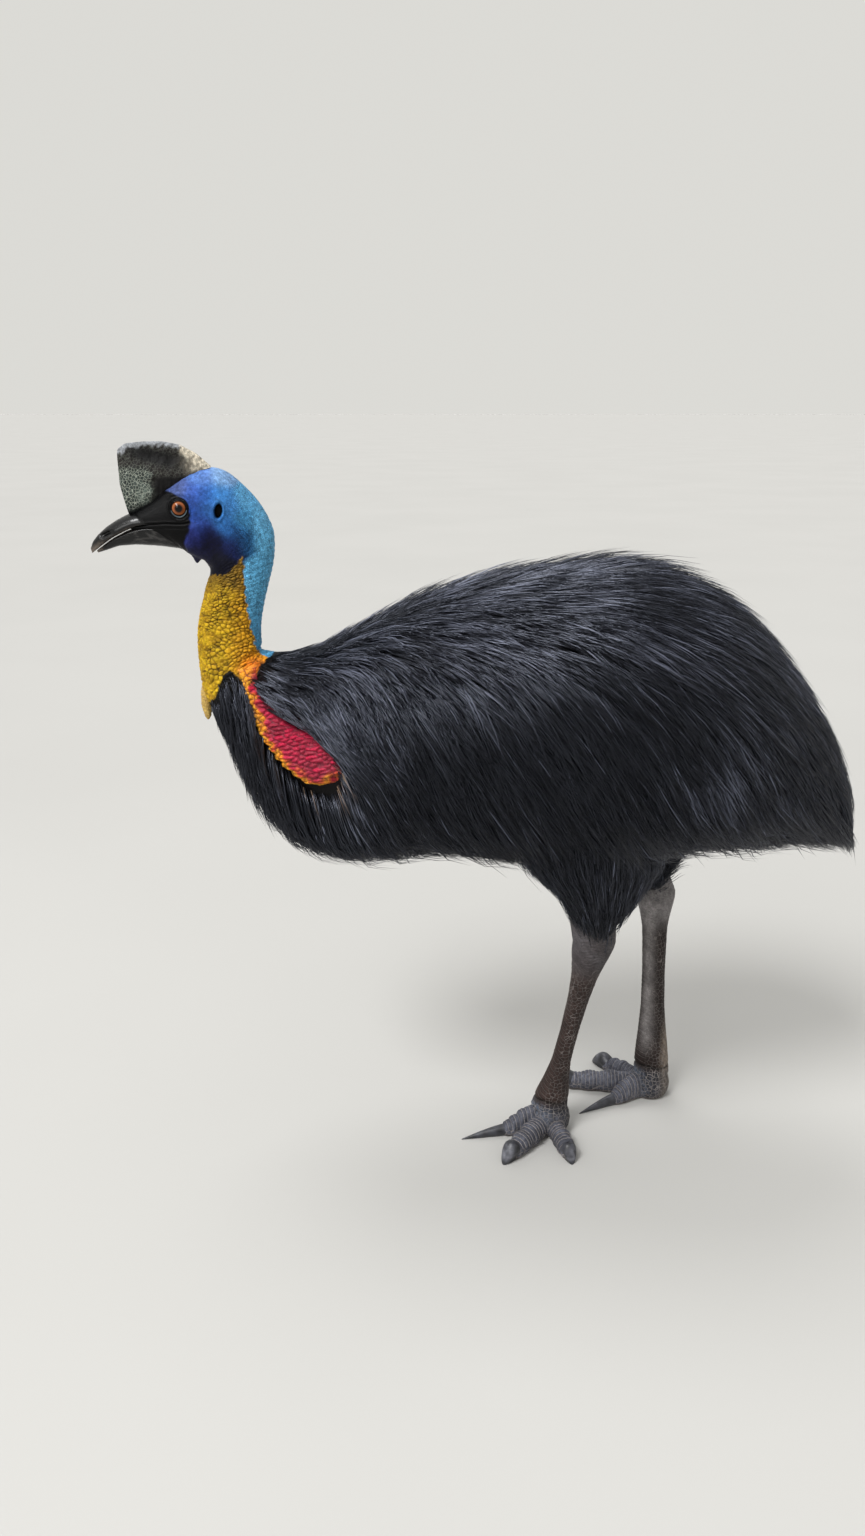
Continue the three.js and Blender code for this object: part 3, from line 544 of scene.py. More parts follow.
@dataclass(frozen=True)
class WetEye(Finish):
    """Wet eye: black pupil and brown iris with fine fibres, under a clear cornea whose sharp glint
    tells the eye it is wet and looking."""

    def make(self) -> Material:
        """Builds the material."""
        material, tree, shader = self.start()
        place = add(tree, "TexCoord", out="Object")
        radial = add(tree, "Attribute", attribute_name="radial", out="Fac")
        fibres = add(tree, "TexNoise", {"Vector": place, "Scale": 900.0, "Detail": 3.0})
        ragged = add(tree, "Math", {0: fibres, 1: 0.06, 2: radial}, operation="MULTIPLY_ADD")
        stops = [
            (0.0, "#020202"), (0.46, "#020202"), (0.51, "#3d1e10"), (0.66, "#7a4224"), (0.84, "#93552f"),
            (0.94, "#44200f"), (0.99, "#0a0706"), (1.0, "#08080a"),
        ]
        colour = add(tree, "ValToRGB", {"Fac": ragged}, stops=stops)
        tree.links.new(colour, shader.inputs["Base Color"])
        return material


@dataclass(frozen=True)
class StudioFloor(Finish):
    """Pale matt studio paper, even and without shine, so that the eye stays on the bird."""

    colour: str = "#abaaa7"
    cloud: str = "#adaca9"

    def make(self) -> Material:
        """Builds the material."""
        material, tree, shader = self.start()
        place = add(tree, "TexCoord", out="Object")
        grain = add(tree, "TexNoise", {"Vector": place, "Scale": 0.8})
        stops = [(0.35, self.colour), (0.65, self.cloud)]
        colour = add(tree, "ValToRGB", {"Fac": grain}, stops=stops)
        tree.links.new(colour, shader.inputs["Base Color"])
        return material


# The trunk's form, shared by skin and plumage


@dataclass(frozen=True)
class Section:
    """An egg-shaped section: crown and keel as x and z, half width, and where it is widest."""

    top: tuple[float, float]
    bottom: tuple[float, float]
    half: float
    widest: float
    turn: float = 0.0


HEAD_SECTIONS = (
    Section((-524, 1002), (-498, 974), 13, 0.6, 1.0), Section((-505, 1016), (-447, 961), 23, 0.62, 1.0),
    Section((-487, 1028), (-438, 955), 28, 0.6, 1.0), Section((-463, 1047), (-428, 949), 32, 0.58, 1.0),
    Section((-438, 1064), (-420, 944), 34, 0.56, 1.0), Section((-410, 1074), (-413, 939), 36, 0.55, 1.0),
    Section((-380, 1069), (-409, 933), 37, 0.55, 1.0), Section((-352, 1046), (-409, 927), 37, 0.55, 1.0),
    Section((-331, 1020), (-410, 922), 37, 0.54, 1.0), Section((-317, 990), (-412, 917), 36, 0.53, 1.0),
    Section((-315, 962), (-414, 910), 35, 0.52, 1.0), Section((-319, 935), (-416, 903), 34, 0.5, 1.0),
)
NECK_SECTIONS = (
    Section((-326, 910), (-424, 881), 34, 0.5, 0.85), Section((-333, 885), (-429, 862), 34, 0.5, 0.6),
    Section((-339, 858), (-433, 843), 35, 0.5, 0.35), Section((-341, 838), (-435, 812), 37, 0.5, 0.15),
    Section((-341, 822), (-434, 780), 40, 0.5, 0.05), Section((-340, 812), (-432, 748), 44, 0.5),
)
BODY_SECTIONS = (
    Section((-318, 810), (-418, 712), 54, 0.5), Section((-290, 811), (-400, 672), 67, 0.5),
    Section((-250, 821), (-380, 622), 84, 0.49), Section((-200, 844), (-355, 570), 103, 0.48),
    Section((-145, 872), (-315, 524), 122, 0.47), Section((-85, 897), (-262, 498), 140, 0.46),
    Section((-20, 917), (-190, 488), 158, 0.45), Section((50, 930), (-100, 491), 174, 0.44),
    Section((120, 938), (10, 498), 188, 0.43), Section((190, 943), (120, 500), 197, 0.42),
    Section((260, 936), (220, 502), 197, 0.42), Section((320, 915), (312, 504), 188, 0.42),
    Section((372, 883), (372, 506), 168, 0.42), Section((420, 841), (428, 508), 141, 0.42),
    Section((466, 785), (478, 508), 110, 0.42), Section((505, 724), (517, 507), 79, 0.42),
    Section((537, 659), (546, 503), 51, 0.42), Section((560, 592), (566, 500), 28, 0.42),
    Section((573, 534), (577, 498), 9, 0.42),
)
HEAD_END = len(HEAD_SECTIONS) - 1
NECK_END = HEAD_END + len(NECK_SECTIONS)
TAIL_START = NECK_END + 12
CORE_END = TAIL_START + 3
TAIL_END = NECK_END + len(BODY_SECTIONS)
CAMERA = (-87.0, -1627.0, 1154.0)


def cast(places: Array) -> Array:
    """x and z at which the camera sees places, laid on the bird's middle plane.

    The outlines and colour borders below are read off the photograph in this plane.

    Args:
        places: Places in millimetres, one row each.

    Returns:
        x and z of each place, one row each.
    """
    nearer = CAMERA[1] / (CAMERA[1] - places[:, 1])
    x = CAMERA[0] + (places[:, 0] - CAMERA[0]) * nearer
    z = CAMERA[2] + (places[:, 2] - CAMERA[2]) * nearer
    return np.stack([x, z], axis=1)


@dataclass
class TrunkForm:
    """The bird from the bill's root to the tail's tip, out to the tips of the coat.

    A place runs from 0 at the bill's root, by one for each section. An angle runs from 0 on the
    crown or back to pi under the throat or belly, and is positive on the bird's right. Level 0 is
    the skin and level 1 the tips of the coat.
    """

    sections: tuple[Section, ...] = HEAD_SECTIONS + NECK_SECTIONS + BODY_SECTIONS
    head_yaw: float = math.radians(8)
    head_side: float = -6.0
    pivot_x: float = -372.0
    coat_depth: float = 26.0
    belly_depth: float = 24.0
    rump_depth: float = 22.0
    table: Array = field(init=False)

    def __post_init__(self) -> None:
        """Lays the sections out as one table."""
        rows = [[*s.top, *s.bottom, s.half, s.widest, s.turn] for s in self.sections]
        self.table = np.array(rows, float)

    def values(self, place: Array) -> Array:
        """Smooth values of the sections at places between them, one column for each."""
        last = len(self.table) - 1
        held = np.clip(place, 0, last - 1e-6)
        index = held.astype(int)
        share = (held - index)[:, None]
        before, here, after, later = (self.table[np.clip(index + step, 0, last)] for step in (-1, 0, 1, 2))
        curve = 2 * before - 5 * here + 4 * after - later
        rise = after - before + share * (curve + share * (3 * (here - after) + later - before))
        return here + 0.5 * share * rise

    def depth(self, place: Array, angle: Array) -> Array:
        """Depth of the coat in millimetres over the skin."""
        down = place - NECK_END
        under = ramp(np.abs(angle), math.radians(100), math.radians(150))
        rump = ramp(place, TAIL_START, CORE_END)
        deep = mix(2, self.coat_depth, ramp(down, 0, 5))
        belly = self.belly_depth * under * ramp(down, 1, 5)
        return (deep + belly + self.rump_depth * rump) * ramp(down, -1, 0)

    def flat(self, place: Array, angle: Array, level: Array = 0.0) -> Array:
        """Places in millimetres before the head is turned."""
        top_x, top_z, keel_x, keel_z, half, widest, _ = self.values(place).T
        body = ramp(place, NECK_END, NECK_END + 2.5)
        shrink = self.depth(place, angle) * (1 - level)
        up_x = top_x - keel_x
        up_z = top_z - keel_z
        height = np.hypot(up_x, up_z)
        rise = np.cos(angle)
        reach = np.where(rise > 0, 1 - widest, widest) * height - shrink
        power = np.where(rise > 0, 1 + 0.12 * body, 1 - 0.4 * body)
        across = np.abs(np.sin(angle)) ** power * np.sign(np.sin(angle))
        x = keel_x + up_x * (widest + rise * reach / height)
        z = keel_z + up_z * (widest + rise * reach / height)
        return np.stack([x, across * np.maximum(half - shrink, 1.0), z], axis=1)

    def turned(self, flat: Array, turn: Array) -> Array:
        """Places after a share of the head's turn."""
        angle = self.head_yaw * turn
        x = flat[:, 0] - self.pivot_x
        return np.stack(
            [
                self.pivot_x + x * np.cos(angle) - flat[:, 1] * np.sin(angle),
                x * np.sin(angle) + flat[:, 1] * np.cos(angle) + self.head_side * turn, flat[:, 2],
            ],
            axis=1,
        )

    def straightened(self, places: Array, turn: Array = 1.0) -> Array:
        """Places in the head's own straight frame, before a share of its turn."""
        angle = self.head_yaw * turn
        x = places[:, 0] - self.pivot_x
        y = places[:, 1] - self.head_side * turn
        return np.stack(
            [
                self.pivot_x + x * np.cos(angle) + y * np.sin(angle), y * np.cos(angle) - x * np.sin(angle),
                places[:, 2],
            ],
            axis=1,
        )

    def side_view(self, places: Array, turn: Array = 1.0) -> Array:
        """x and z at which the camera sees places, or their twins on the left for those on the right."""
        flat = self.straightened(places, turn)
        flat[:, 1] = -np.abs(flat[:, 1])
        return cast(self.turned(flat, turn))

    def point(self, place: Array, angle: Array, level: Array = 0.0) -> Array:
        """Places in millimetres, with the head turned."""
        place = np.asarray(place, float)
        return self.turned(self.flat(place, angle, level), self.values(place)[:, 6])

    def surface(self, place: Array, angle: Array, level: float) -> tuple[Array, Array]:
        """Places on the trunk, and a unit line straight through it at each, either way."""
        points = self.point(place, angle, level)
        along = self.point(place + 0.02, angle, level) - points
        around = self.point(place, angle + 0.01, level) - points
        return points, unit(np.cross(around, along))

    def on_head(self, rings: Array) -> Array:
        """Rings in the head's straight frame, turned with it."""
        flat = rings.reshape(-1, 3)
        return self.turned(flat, np.ones(len(flat))).reshape(rings.shape)


FORM = TrunkForm()
EYE = np.array([-445.0, 22.5, 1020.5])
EYE_RADIUS = 13.2
EAR = np.array([-391.0, 36.0, 1016.5])
GAPE = (-431.0, 1001.0)


# Skin


@dataclass
class SkinPaint:
    """Colours of the bare head and neck, laid in the side view."""

    black: str = "#050506"
    # crack is painted into the golden neck's cracks and folds, as painted shade.
    crack: str = "#1d1206"
    golden: str = "#bd9a1e"
    amber: str = "#a27c18"
    umber: str = "#6b5220"
    rear: str = "#c48a1e"
    orange: str = "#cc661a"
    # hidden is painted shade: the skin under the coat is near-black, so gaps between barbs read as shadow.
    hidden: str = "#0b0a0b"
    # lid is a painted highlight along the rim of the lower lid.
    lid: str = "#8fa3ad"
    reach: float = 9.0
    shade: float = 0.74
    # The darkest navy spots, low on the cheek and pouch, are partly the skin's own colour and partly painted
    # shade beneath the cheek.
    spots: tuple[tuple[float, float, str], ...] = (
        (-414, 1060, "#5e86d0"), (-388, 1062, "#86aede"), (-452, 1044, "#4f6098"), (-428, 1034, "#3f62bd"),
        (-427, 1016, "#274896"), (-410, 1036, "#2f62b8"), (-393, 1034, "#448cd6"), (-411, 1016, "#3165a8"),
        (-392, 996, "#3a7cc8"), (-378, 1020, "#4486cc"), (-353, 1028, "#6cbcf0"), (-334, 1000, "#78c8f8"),
        (-331, 970, "#78ceff"), (-358, 1000, "#4894ca"), (-358, 970, "#1f5486"), (-337, 929, "#74ccff"),
        (-345, 900, "#76ceff"), (-352, 880, "#72c8fa"), (-342, 850, "#6ac0f4"), (-338, 820, "#62b8ea"),
        (-422, 996, "#3152a8"), (-434, 980, "#272f70"), (-409, 984, "#161b4a"), (-404, 968, "#0c0d28"),
        (-395, 939, "#0a0b1c"), (-377, 964, "#141f50"), (-376, 984, "#2a62a4"), (-430, 945, "#1b1d3c"),
    )
    black_edge: tuple[tuple[float, float], ...] = (
        (935, -444), (957, -443), (966, -447), (980, -441), (992, -436), (1000, -435), (1010, -436),
        (1020, -438), (1028, -443), (1036, -456), (1042, -467), (1054, -451), (1064, -432), (1069, -418),
        (1071, -403),
    )
    pouch: tuple[tuple[float, float], ...] = (
        (-440, 918), (-416, 920), (-400, 921), (-387, 924), (-372, 936), (-363, 948),
    )
    border: tuple[tuple[float, float], ...] = (
        (798, -331), (807, -346), (816, -350), (834, -353), (858, -358), (881, -361), (908, -362),
        (931, -362), (949, -363), (975, -364),
    )

    def blues(self, seen: Array) -> Array:
        """Blue and violet paint of the head and nape, blended between named spots."""
        total = np.zeros((len(seen), 3))
        weights = np.full(len(seen), 1e-12)
        for x, z, colour in self.spots:
            distance = ((seen[:, 0] - x) ** 2 + (seen[:, 1] - z) ** 2) / (2 * self.reach**2)
            weight = np.exp(-np.minimum(distance, 60))
            total += weight[:, None] * np.sqrt(linear(colour))
            weights += weight
        return self.shade * (total / weights[:, None]) ** 2

    def golden_share(self, seen: Array, places: Array) -> Array:
        """How far each point is golden neck rather than blue skin, from 0 to 1."""
        wander = 5 * (noise_at(places, 6, 5) - 0.5)
        pouch_z = np.interp(seen[:, 0], *zip(*self.pouch))
        border_x = np.interp(seen[:, 1], *zip(*self.border))
        below = ramp(pouch_z - seen[:, 1] + wander, -1.0, 1.0)
        front = ramp(border_x - seen[:, 0] + wander, -1.2, 1.2)
        return below * np.maximum(front, 1 - ramp(seen[:, 1], 795, 801))

    def black_share(self, seen: Array, places: Array) -> Array:
        """How far each point is black horn and lore rather than blue skin, from 0 to 1."""
        edge = np.interp(seen[:, 1], *zip(*self.black_edge))
        wander = 3 * (noise_at(places, 6, 8) - 0.5)
        return ramp(edge - seen[:, 0] + wander, -2.5, 2.0)

    def gold(self, seen: Array, places: Array) -> Array:
        """Paint of the golden neck: yellow in front, brown at its top and behind, orange below."""
        tint = mix(linear(self.golden), linear(self.amber), noise_at(places, 10, 12)[:, None])
        front = np.interp(seen[:, 1], [728, 800, 900, 930], [-425, -432, -420, -416])
        behind = ramp(seen[:, 0] - front, 28, 66)
        tint = over(tint, self.rear, 0.75 * behind)
        top = ramp(seen[:, 1] + 14 * (noise_at(places, 12, 13) - 0.5), 878, 922)
        tint = over(tint, self.umber, 0.8 * top)
        warm = np.exp(-(((seen[:, 0] + 352) / 20) ** 2) - ((seen[:, 1] - 783) / 17) ** 2)
        return over(tint, self.orange, np.clip(1.1 * warm, 0, 0.9))


@dataclass
class Skin:
    """One skin from the bill's root to the rump: bare on the head and neck, hidden by the coat after."""

    sides: int = 208
    fine_cell: float = 3.6
    fine_columns: int = 74
    bold_columns: int = 40
    paint: SkinPaint = field(default_factory=SkinPaint)

    def stations(self) -> Array:
        """Places of the rings: close on the head and neck, wide under the coat."""
        runs = [
            np.linspace(0, HEAD_END, 170), np.linspace(HEAD_END, NECK_END, 128)[1:],
            np.linspace(NECK_END, NECK_END + 1.3, 34)[1:], np.linspace(NECK_END + 1.3, CORE_END, 36)[1:],
        ]
        return np.concatenate(runs)

    def build(self) -> Piece:
        """Builds, carves and paints the skin.

        Returns:
            The finished piece.
        """
        stations = self.stations()
        turn = np.arange(self.sides) / self.sides * 2 * np.pi
        turn = np.where(turn > np.pi, turn - 2 * np.pi, turn)
        place = np.repeat(stations, self.sides)
        angle = np.tile(turn, len(stations))
        points, normal = FORM.surface(place, angle, -0.05)
        rings = points.reshape(len(stations), self.sides, 3)
        centre = np.repeat(rings.mean(axis=1), self.sides, axis=0)
        normal *= np.sign(np.sum(normal * (points - centre), axis=1))[:, None]
        relief, crack, crest = self.pebbles(place, angle, points, rings)
        points = points + normal * relief[:, None]
        skin = loft("skin", points.reshape(rings.shape) * MM)
        set_number(skin, "place", place)
        set_number(skin, "crack", crack)
        set_number(skin, "crest", crest)
        self.subdivide_near(skin, [(EYE, 26.0), (EAR, 19.0)])
        self.carve(skin)
        self.colour(skin)
        nodes = ("head", "neck_upper", "neck_lower", "breast", "torso", "tail")
        finish = BareSkin("bare_wrinkled_bird_skin", roughness=0.5, specular=0.1)
        return finish_piece(skin, finish.make(), nodes)

    def pebbles(self, place: Array, angle: Array, points: Array, rings: Array) -> tuple[Array, Array, Array]:
        """Relief of the pebbled neck: fine beads in front, bold slanting lumps on its sides.

        Args:
            place: Place of each point.
            angle: Angle of each point.
            points: The unshaped points in millimetres.
            rings: The same as rings, for the length along the neck.

        Returns:
            Height of each point over the plain skin in millimetres, how deep in a crack it is, and
            how high on a lump, both from 0 to 1.
        """
        middle = rings.mean(axis=1)
        steps = np.linalg.norm(np.diff(middle, axis=0), axis=1)
        run = np.concatenate([[0], np.cumsum(steps)])
        stations = place.reshape(rings.shape[:2])[:, 0]
        size = np.interp(stations, [HEAD_END - 1, HEAD_END + 3, NECK_END, NECK_END + 2], [4.2, 6.0, 7.0, 7.5])
        rows = np.concatenate([[0], np.cumsum(steps / size[1:])])
        length, bold_row = np.repeat(run, self.sides), np.repeat(rows, self.sides)
        wave = 0.5 * (noise_at(points, 22, 21) - 0.5)
        share = angle / (2 * np.pi) + 0.5
        columns = self.fine_columns
        fine_gap, fine_owner = cells(share * columns, length / self.fine_cell + wave, columns, 3.1, 0.46)
        slant = share * self.bold_columns + 0.35 * bold_row * np.sign(angle)
        bold_gap, bold_owner = cells(slant, bold_row + wave, self.bold_columns, 7.7, 0.46)
        seen = FORM.side_view(points, FORM.values(place)[:, 6])
        golden = self.paint.golden_share(seen, points) * ramp(place, 3, 6)
        front = ramp(np.abs(angle), math.radians(122), math.radians(148))
        dome = mix(ramp(bold_gap, 0.0, 0.5), ramp(fine_gap, 0.0, 0.6), front)
        owner = mix(bold_owner, fine_owner, front)
        relief = golden * mix(2.0, 1.1, front) * (dome - 0.5 + 0.5 * (owner - 0.5))
        gap = mix(bold_gap, fine_gap, front)
        higher = 0.4 * ramp(-place, -NECK_END + 1, -HEAD_END)
        uneven = 0.3 + 0.7 * ramp(noise_at(points, 24, 26) + higher, 0.35, 0.8)
        crack = golden * (1 - ramp(gap, 0.03, 0.3)) * mix(1.0, 0.5, front) * uneven
        wavy = length + 9 * noise_at(points, 20, 27) + 7 * share * np.sign(angle)
        folds = ramp(np.sin(wavy * 2 * np.pi / 13), 0.72, 1.0)
        folds *= golden * ramp(noise_at(points, 17, 28), 0.4, 0.65)
        relief -= 1.3 * folds
        crack = np.maximum(crack, 0.75 * folds)
        grain, _ = cells(share * 110, length / 2.5, 110, 9.7)
        rough = ramp(place, 5, 9) * (1 - golden)
        relief += rough * 0.35 * (ramp(grain, 0, 0.6) - 0.5)
        wrinkle = np.sin((length + 6 * noise_at(points, 14, 25)) * 2 * np.pi / 7.5)
        relief += rough * 0.35 * wrinkle * ramp(place, 7, 10)
        return relief, crack, owner * golden

    def subdivide_near(self, skin: Piece, spots: list[tuple[Array, float]]) -> None:
        """Cuts the faces near the eyes and ears finer.

        Args:
            skin: The skin.
            spots: Places on the left and right alike in the head's straight frame, with radii.
        """
        middle = np.empty(len(skin.data.polygons) * 3, np.float32)
        skin.data.polygons.foreach_get("center", middle)
        flat = FORM.straightened(middle.reshape(-1, 3) / MM)
        near = np.zeros(len(flat), bool)
        for spot, radius in spots:
            away = np.hypot(flat[:, 0] - spot[0], flat[:, 2] - spot[2])
            near |= (away < radius) & (np.abs(flat[:, 1]) > 12)
        pick(skin)
        bpy.ops.object.mode_set(mode="EDIT")
        bpy.ops.mesh.select_mode(type="FACE")
        bpy.ops.mesh.select_all(action="DESELECT")
        bpy.ops.object.mode_set(mode="OBJECT")
        skin.data.polygons.foreach_set("select", near)
        bpy.ops.object.mode_set(mode="EDIT")
        bpy.ops.mesh.subdivide(number_cuts=1, smoothness=0.0)
        bpy.ops.object.mode_set(mode="OBJECT")

    def carve(self, skin: Piece) -> None:
        """Shapes lids, brow, ears, mouth line, cheek folds and the chin's flap.

        Args:
            skin: The skin.
        """
        places = places_of(skin)
        head = number_of(skin, "place") <= HEAD_END + 0.5
        flat = FORM.straightened(places)
        x, y, z = flat.T
        out = np.sign(y)
        surface = np.abs(y)
        side = ramp(surface, 8, 16) * head
        level = surface + self.lids(x, z, surface) * side
        level += self.cheek(x, z) * side
        level += self.ear(x, z) * side
        flat[:, 1] = np.where(head, out * level, y)
        flap = np.exp(-((x + 427.5) ** 2) / 22 - (y / 7) ** 2) * ramp(964 - z, 0, 14)
        notch = np.exp(-((x + 417) ** 2) / 16 - (y / 9) ** 2) * ramp(958 - z, 0, 14)
        flat[:, 2] += np.where(head, 4.5 * notch - 8.0 * flap, 0)
        moved = FORM.turned(flat, np.ones(len(flat)))
        places[head] = moved[head]
        set_places(skin, places)

    def lids(self, x: Array, z: Array, surface: Array) -> Array:
        """How far the skin about the eye moves outwards, in millimetres."""
        dx = x - EYE[0]
        dz = z - EYE[2]
        away = np.hypot(dx, dz)
        ring = np.hypot(dx / 9.8, (dz + 0.04 * dx) / np.where(dz > 0, 9.4, 10.6))
        ball = EYE[1] + np.sqrt(np.maximum(EYE_RADIUS**2 - away**2, 0))
        lid = np.maximum(surface, ball + 0.5) + 1.6 * bump(ring, 1.14, 0.1) - 0.7 * bump(ring, 1.36, 0.1)
        lid += 0.9 * bump(ring, 1.55, 0.13) - 0.5 * bump(ring, 1.8, 0.15)
        blend = 1 - ramp(ring, 1.5, 2.2)
        target = mix(surface, lid, blend)
        hollow = ball - 3.0
        target = mix(target, hollow, 1 - ramp(ring, 0.9, 1.02))
        brow = 2.6 * np.exp(-((dx / 22) ** 2) - ((dz - 18) / 6) ** 2)
        return target - surface + brow * (1 - blend)

    def cheek(self, x: Array, z: Array) -> Array:
        """Relief of the cheek, gape and mouth line, in millimetres."""
        line_z = np.interp(x, [-505, -486, -464, -441, GAPE[0]], [996, 998, 999.5, 999, GAPE[1]])
        mouth = ramp(GAPE[0] + 2 - x, 0, 5)
        slit = -2.4 * mouth * bump(z - line_z, 0, 0.9)
        slit += 0.9 * mouth * bump(z - line_z, -3.2, 1.3) - 0.7 * mouth * bump(z - line_z, -6.2, 1.0)
        slit += 0.6 * mouth * bump(z - line_z, -9, 1.4) + 0.8 * mouth * bump(z - line_z, 2.6, 1.2)
        fold_x = np.interp(z, [940, 955, 970, 980, 992, 1004], [-438, -438, -440, -436, -432, -430])
        behind = x - fold_x
        fold = 3.2 * ramp(behind, -1.2, 2.0) * (1 - ramp(behind, 6, 28))
        fold *= ramp(z, 942, 954) * (1 - ramp(z, 994, 1004))
        hollow = -2.8 * np.exp(-(((x + 402) / 14) ** 2) - ((z - 970) / 14) ** 2)
        jowl = 2.5 * np.exp(-(((x + 396) / 16) ** 2) - ((z - 942) / 10) ** 2)
        crease = -0.8 * bump(z - (976 + 0.5 * (x + 410)), 0, 1.6) * ramp(x, -428, -420)
        crease *= 1 - ramp(x, -390, -375)
        return slit + fold + hollow + jowl + crease

    def ear(self, x: Array, z: Array) -> Array:
        """Relief of the ear: a raised rim about an open hole, in millimetres."""
        ring = self.ear_ring(x, z)
        return 2.0 * bump(ring, 1.35, 0.28) - 9.0 * (1 - ramp(ring, 0.72, 1.06))

    def ear_ring(self, x: Array, z: Array) -> Array:
        """Distance from the ear's middle, 1 at the edge of its hole."""
        lean = 0.12 * (z - EAR[2])
        return np.hypot((x - EAR[0] - lean) / 5.8, (z - EAR[2]) / 10.2)

    def colour(self, skin: Piece) -> None:
        """Paints the skin and marks where it is glossy and creased.

        Args:
            skin: The skin.
        """
        paint = self.paint
        places = places_of(skin)
        place = number_of(skin, "place")
        crack = number_of(skin, "crack")[:, None]
        crest = number_of(skin, "crest")[:, None]
        seen = FORM.side_view(places, FORM.values(place)[:, 6])
        flat = FORM.straightened(places)
        golden = paint.golden_share(seen, places)[:, None]
        black = (paint.black_share(seen, places) * (place < HEAD_END) * (1 - golden[:, 0]))[:, None]
        fine = noise_at(places, 5, 31)
        blue = paint.blues(seen) * (0.72 + 0.5 * fine + 0.16 * (noise_at(places, 2.4, 32) - 0.5))[:, None]
        tint = mix(blue, paint.gold(seen, places) * (0.7 + 0.6 * crest), golden)
        # Painted shade: the cracks and folds between the lumps are painted dark brown.
        tint = mix(tint, linear(paint.crack), np.clip(crack * golden * 0.92, 0, 1))
        tint = mix(tint, linear(paint.black), black)
        ring = np.hypot((flat[:, 0] - EYE[0]) / 9.8, (flat[:, 2] - EYE[2]) / 10.4)
        onside = (np.abs(flat[:, 1]) > 12) & (place < HEAD_END)
        dark = (1 - ramp(ring, 1.35, 1.6)) * onside
        tint = over(tint, paint.black, dark)
        # Painted highlight: a pale line along the rim of the lower lid.
        lower = bump(ring, 1.12, 0.06) * (flat[:, 2] < EYE[2] - 3) * onside
        tint = over(tint, paint.lid, 0.35 * lower)
        # Painted shade: the ear's hole is painted near-black.
        hole = ((1 - ramp(self.ear_ring(flat[:, 0], flat[:, 2]), 0.85, 1.1)) * onside)[:, None]
        tint = mix(tint, linear(paint.black) * 0.3, hole)
        # Painted shade: the skin under the coat, and below the coat's line, is painted near-black.
        line = np.interp(seen[:, 0], *zip(*COAT_LINE))
        coat = ramp(line - seen[:, 1] + 4 * (fine - 0.5), -1.5, 1.5) * ramp(place, NECK_END - 4, NECK_END - 3)
        coat = np.maximum(coat, ramp(place, NECK_END + 1.3, NECK_END + 1.6))[:, None]
        set_tint(skin, mix(tint, linear(paint.hidden), coat))
        set_number(skin, "gloss", np.clip(black[:, 0] * 0.6 + dark, 0, 1))
        bare = (1 - golden[:, 0]) * (1 - black[:, 0]) * (1 - coat[:, 0])
        grain = bare * (0.3 + 0.7 * ramp(seen[:, 0], -392, -362)) + 0.25 * black[:, 0]
        set_number(skin, "grain", grain * (1 - dark))


# Head furniture


@dataclass
class Eyes:
    """The two eyeballs, with a bulging cornea."""

    cornea: float = 1.1
    cornea_reach: float = 8.5

    def build(self) -> None:
        """Builds both eyes."""
        finish = WetEye("wet_eye", roughness=0.08, specular=0.1, ior=1.38, coat=0.3)
        material = finish.make()
        for side in Side:
            self.eye(side, material)

    def eye(self, side: Side, material: Material) -> None:
        """Builds one eye.

        Args:
            side: The side of the head.
            material: The eye's finish.
        """
        deselect_all()
        bpy.ops.mesh.primitive_uv_sphere_add(segments=72, ring_count=54, radius=EYE_RADIUS * MM)
        obj = bpy.context.object
        obj.name = f"eye_{side.label}_ball"
        obj.data.name = obj.name
        ball = places_of(obj)
        flat = np.stack([ball[:, 0], ball[:, 2] * side.value, ball[:, 1]], axis=1)
        radial = np.hypot(flat[:, 0], flat[:, 2])
        front = flat[:, 1] * side.value > 0
        flat[:, 1] += np.where(front, side.value * self.cornea * (1 - ramp(radial, 2, self.cornea_reach)), 0)
        centre = np.array([EYE[0], EYE[1] * side.value, EYE[2]])
        placed = FORM.turned(flat + centre, np.ones(len(flat)))
        set_places(obj, placed)
        face_outwards(obj)
        set_number(obj, "radial", np.where(front, radial / 10.2, 1.0))
        pick(obj)
        bpy.ops.object.shade_smooth()
        finish_piece(obj, material, (f"eye_{side.label}",))


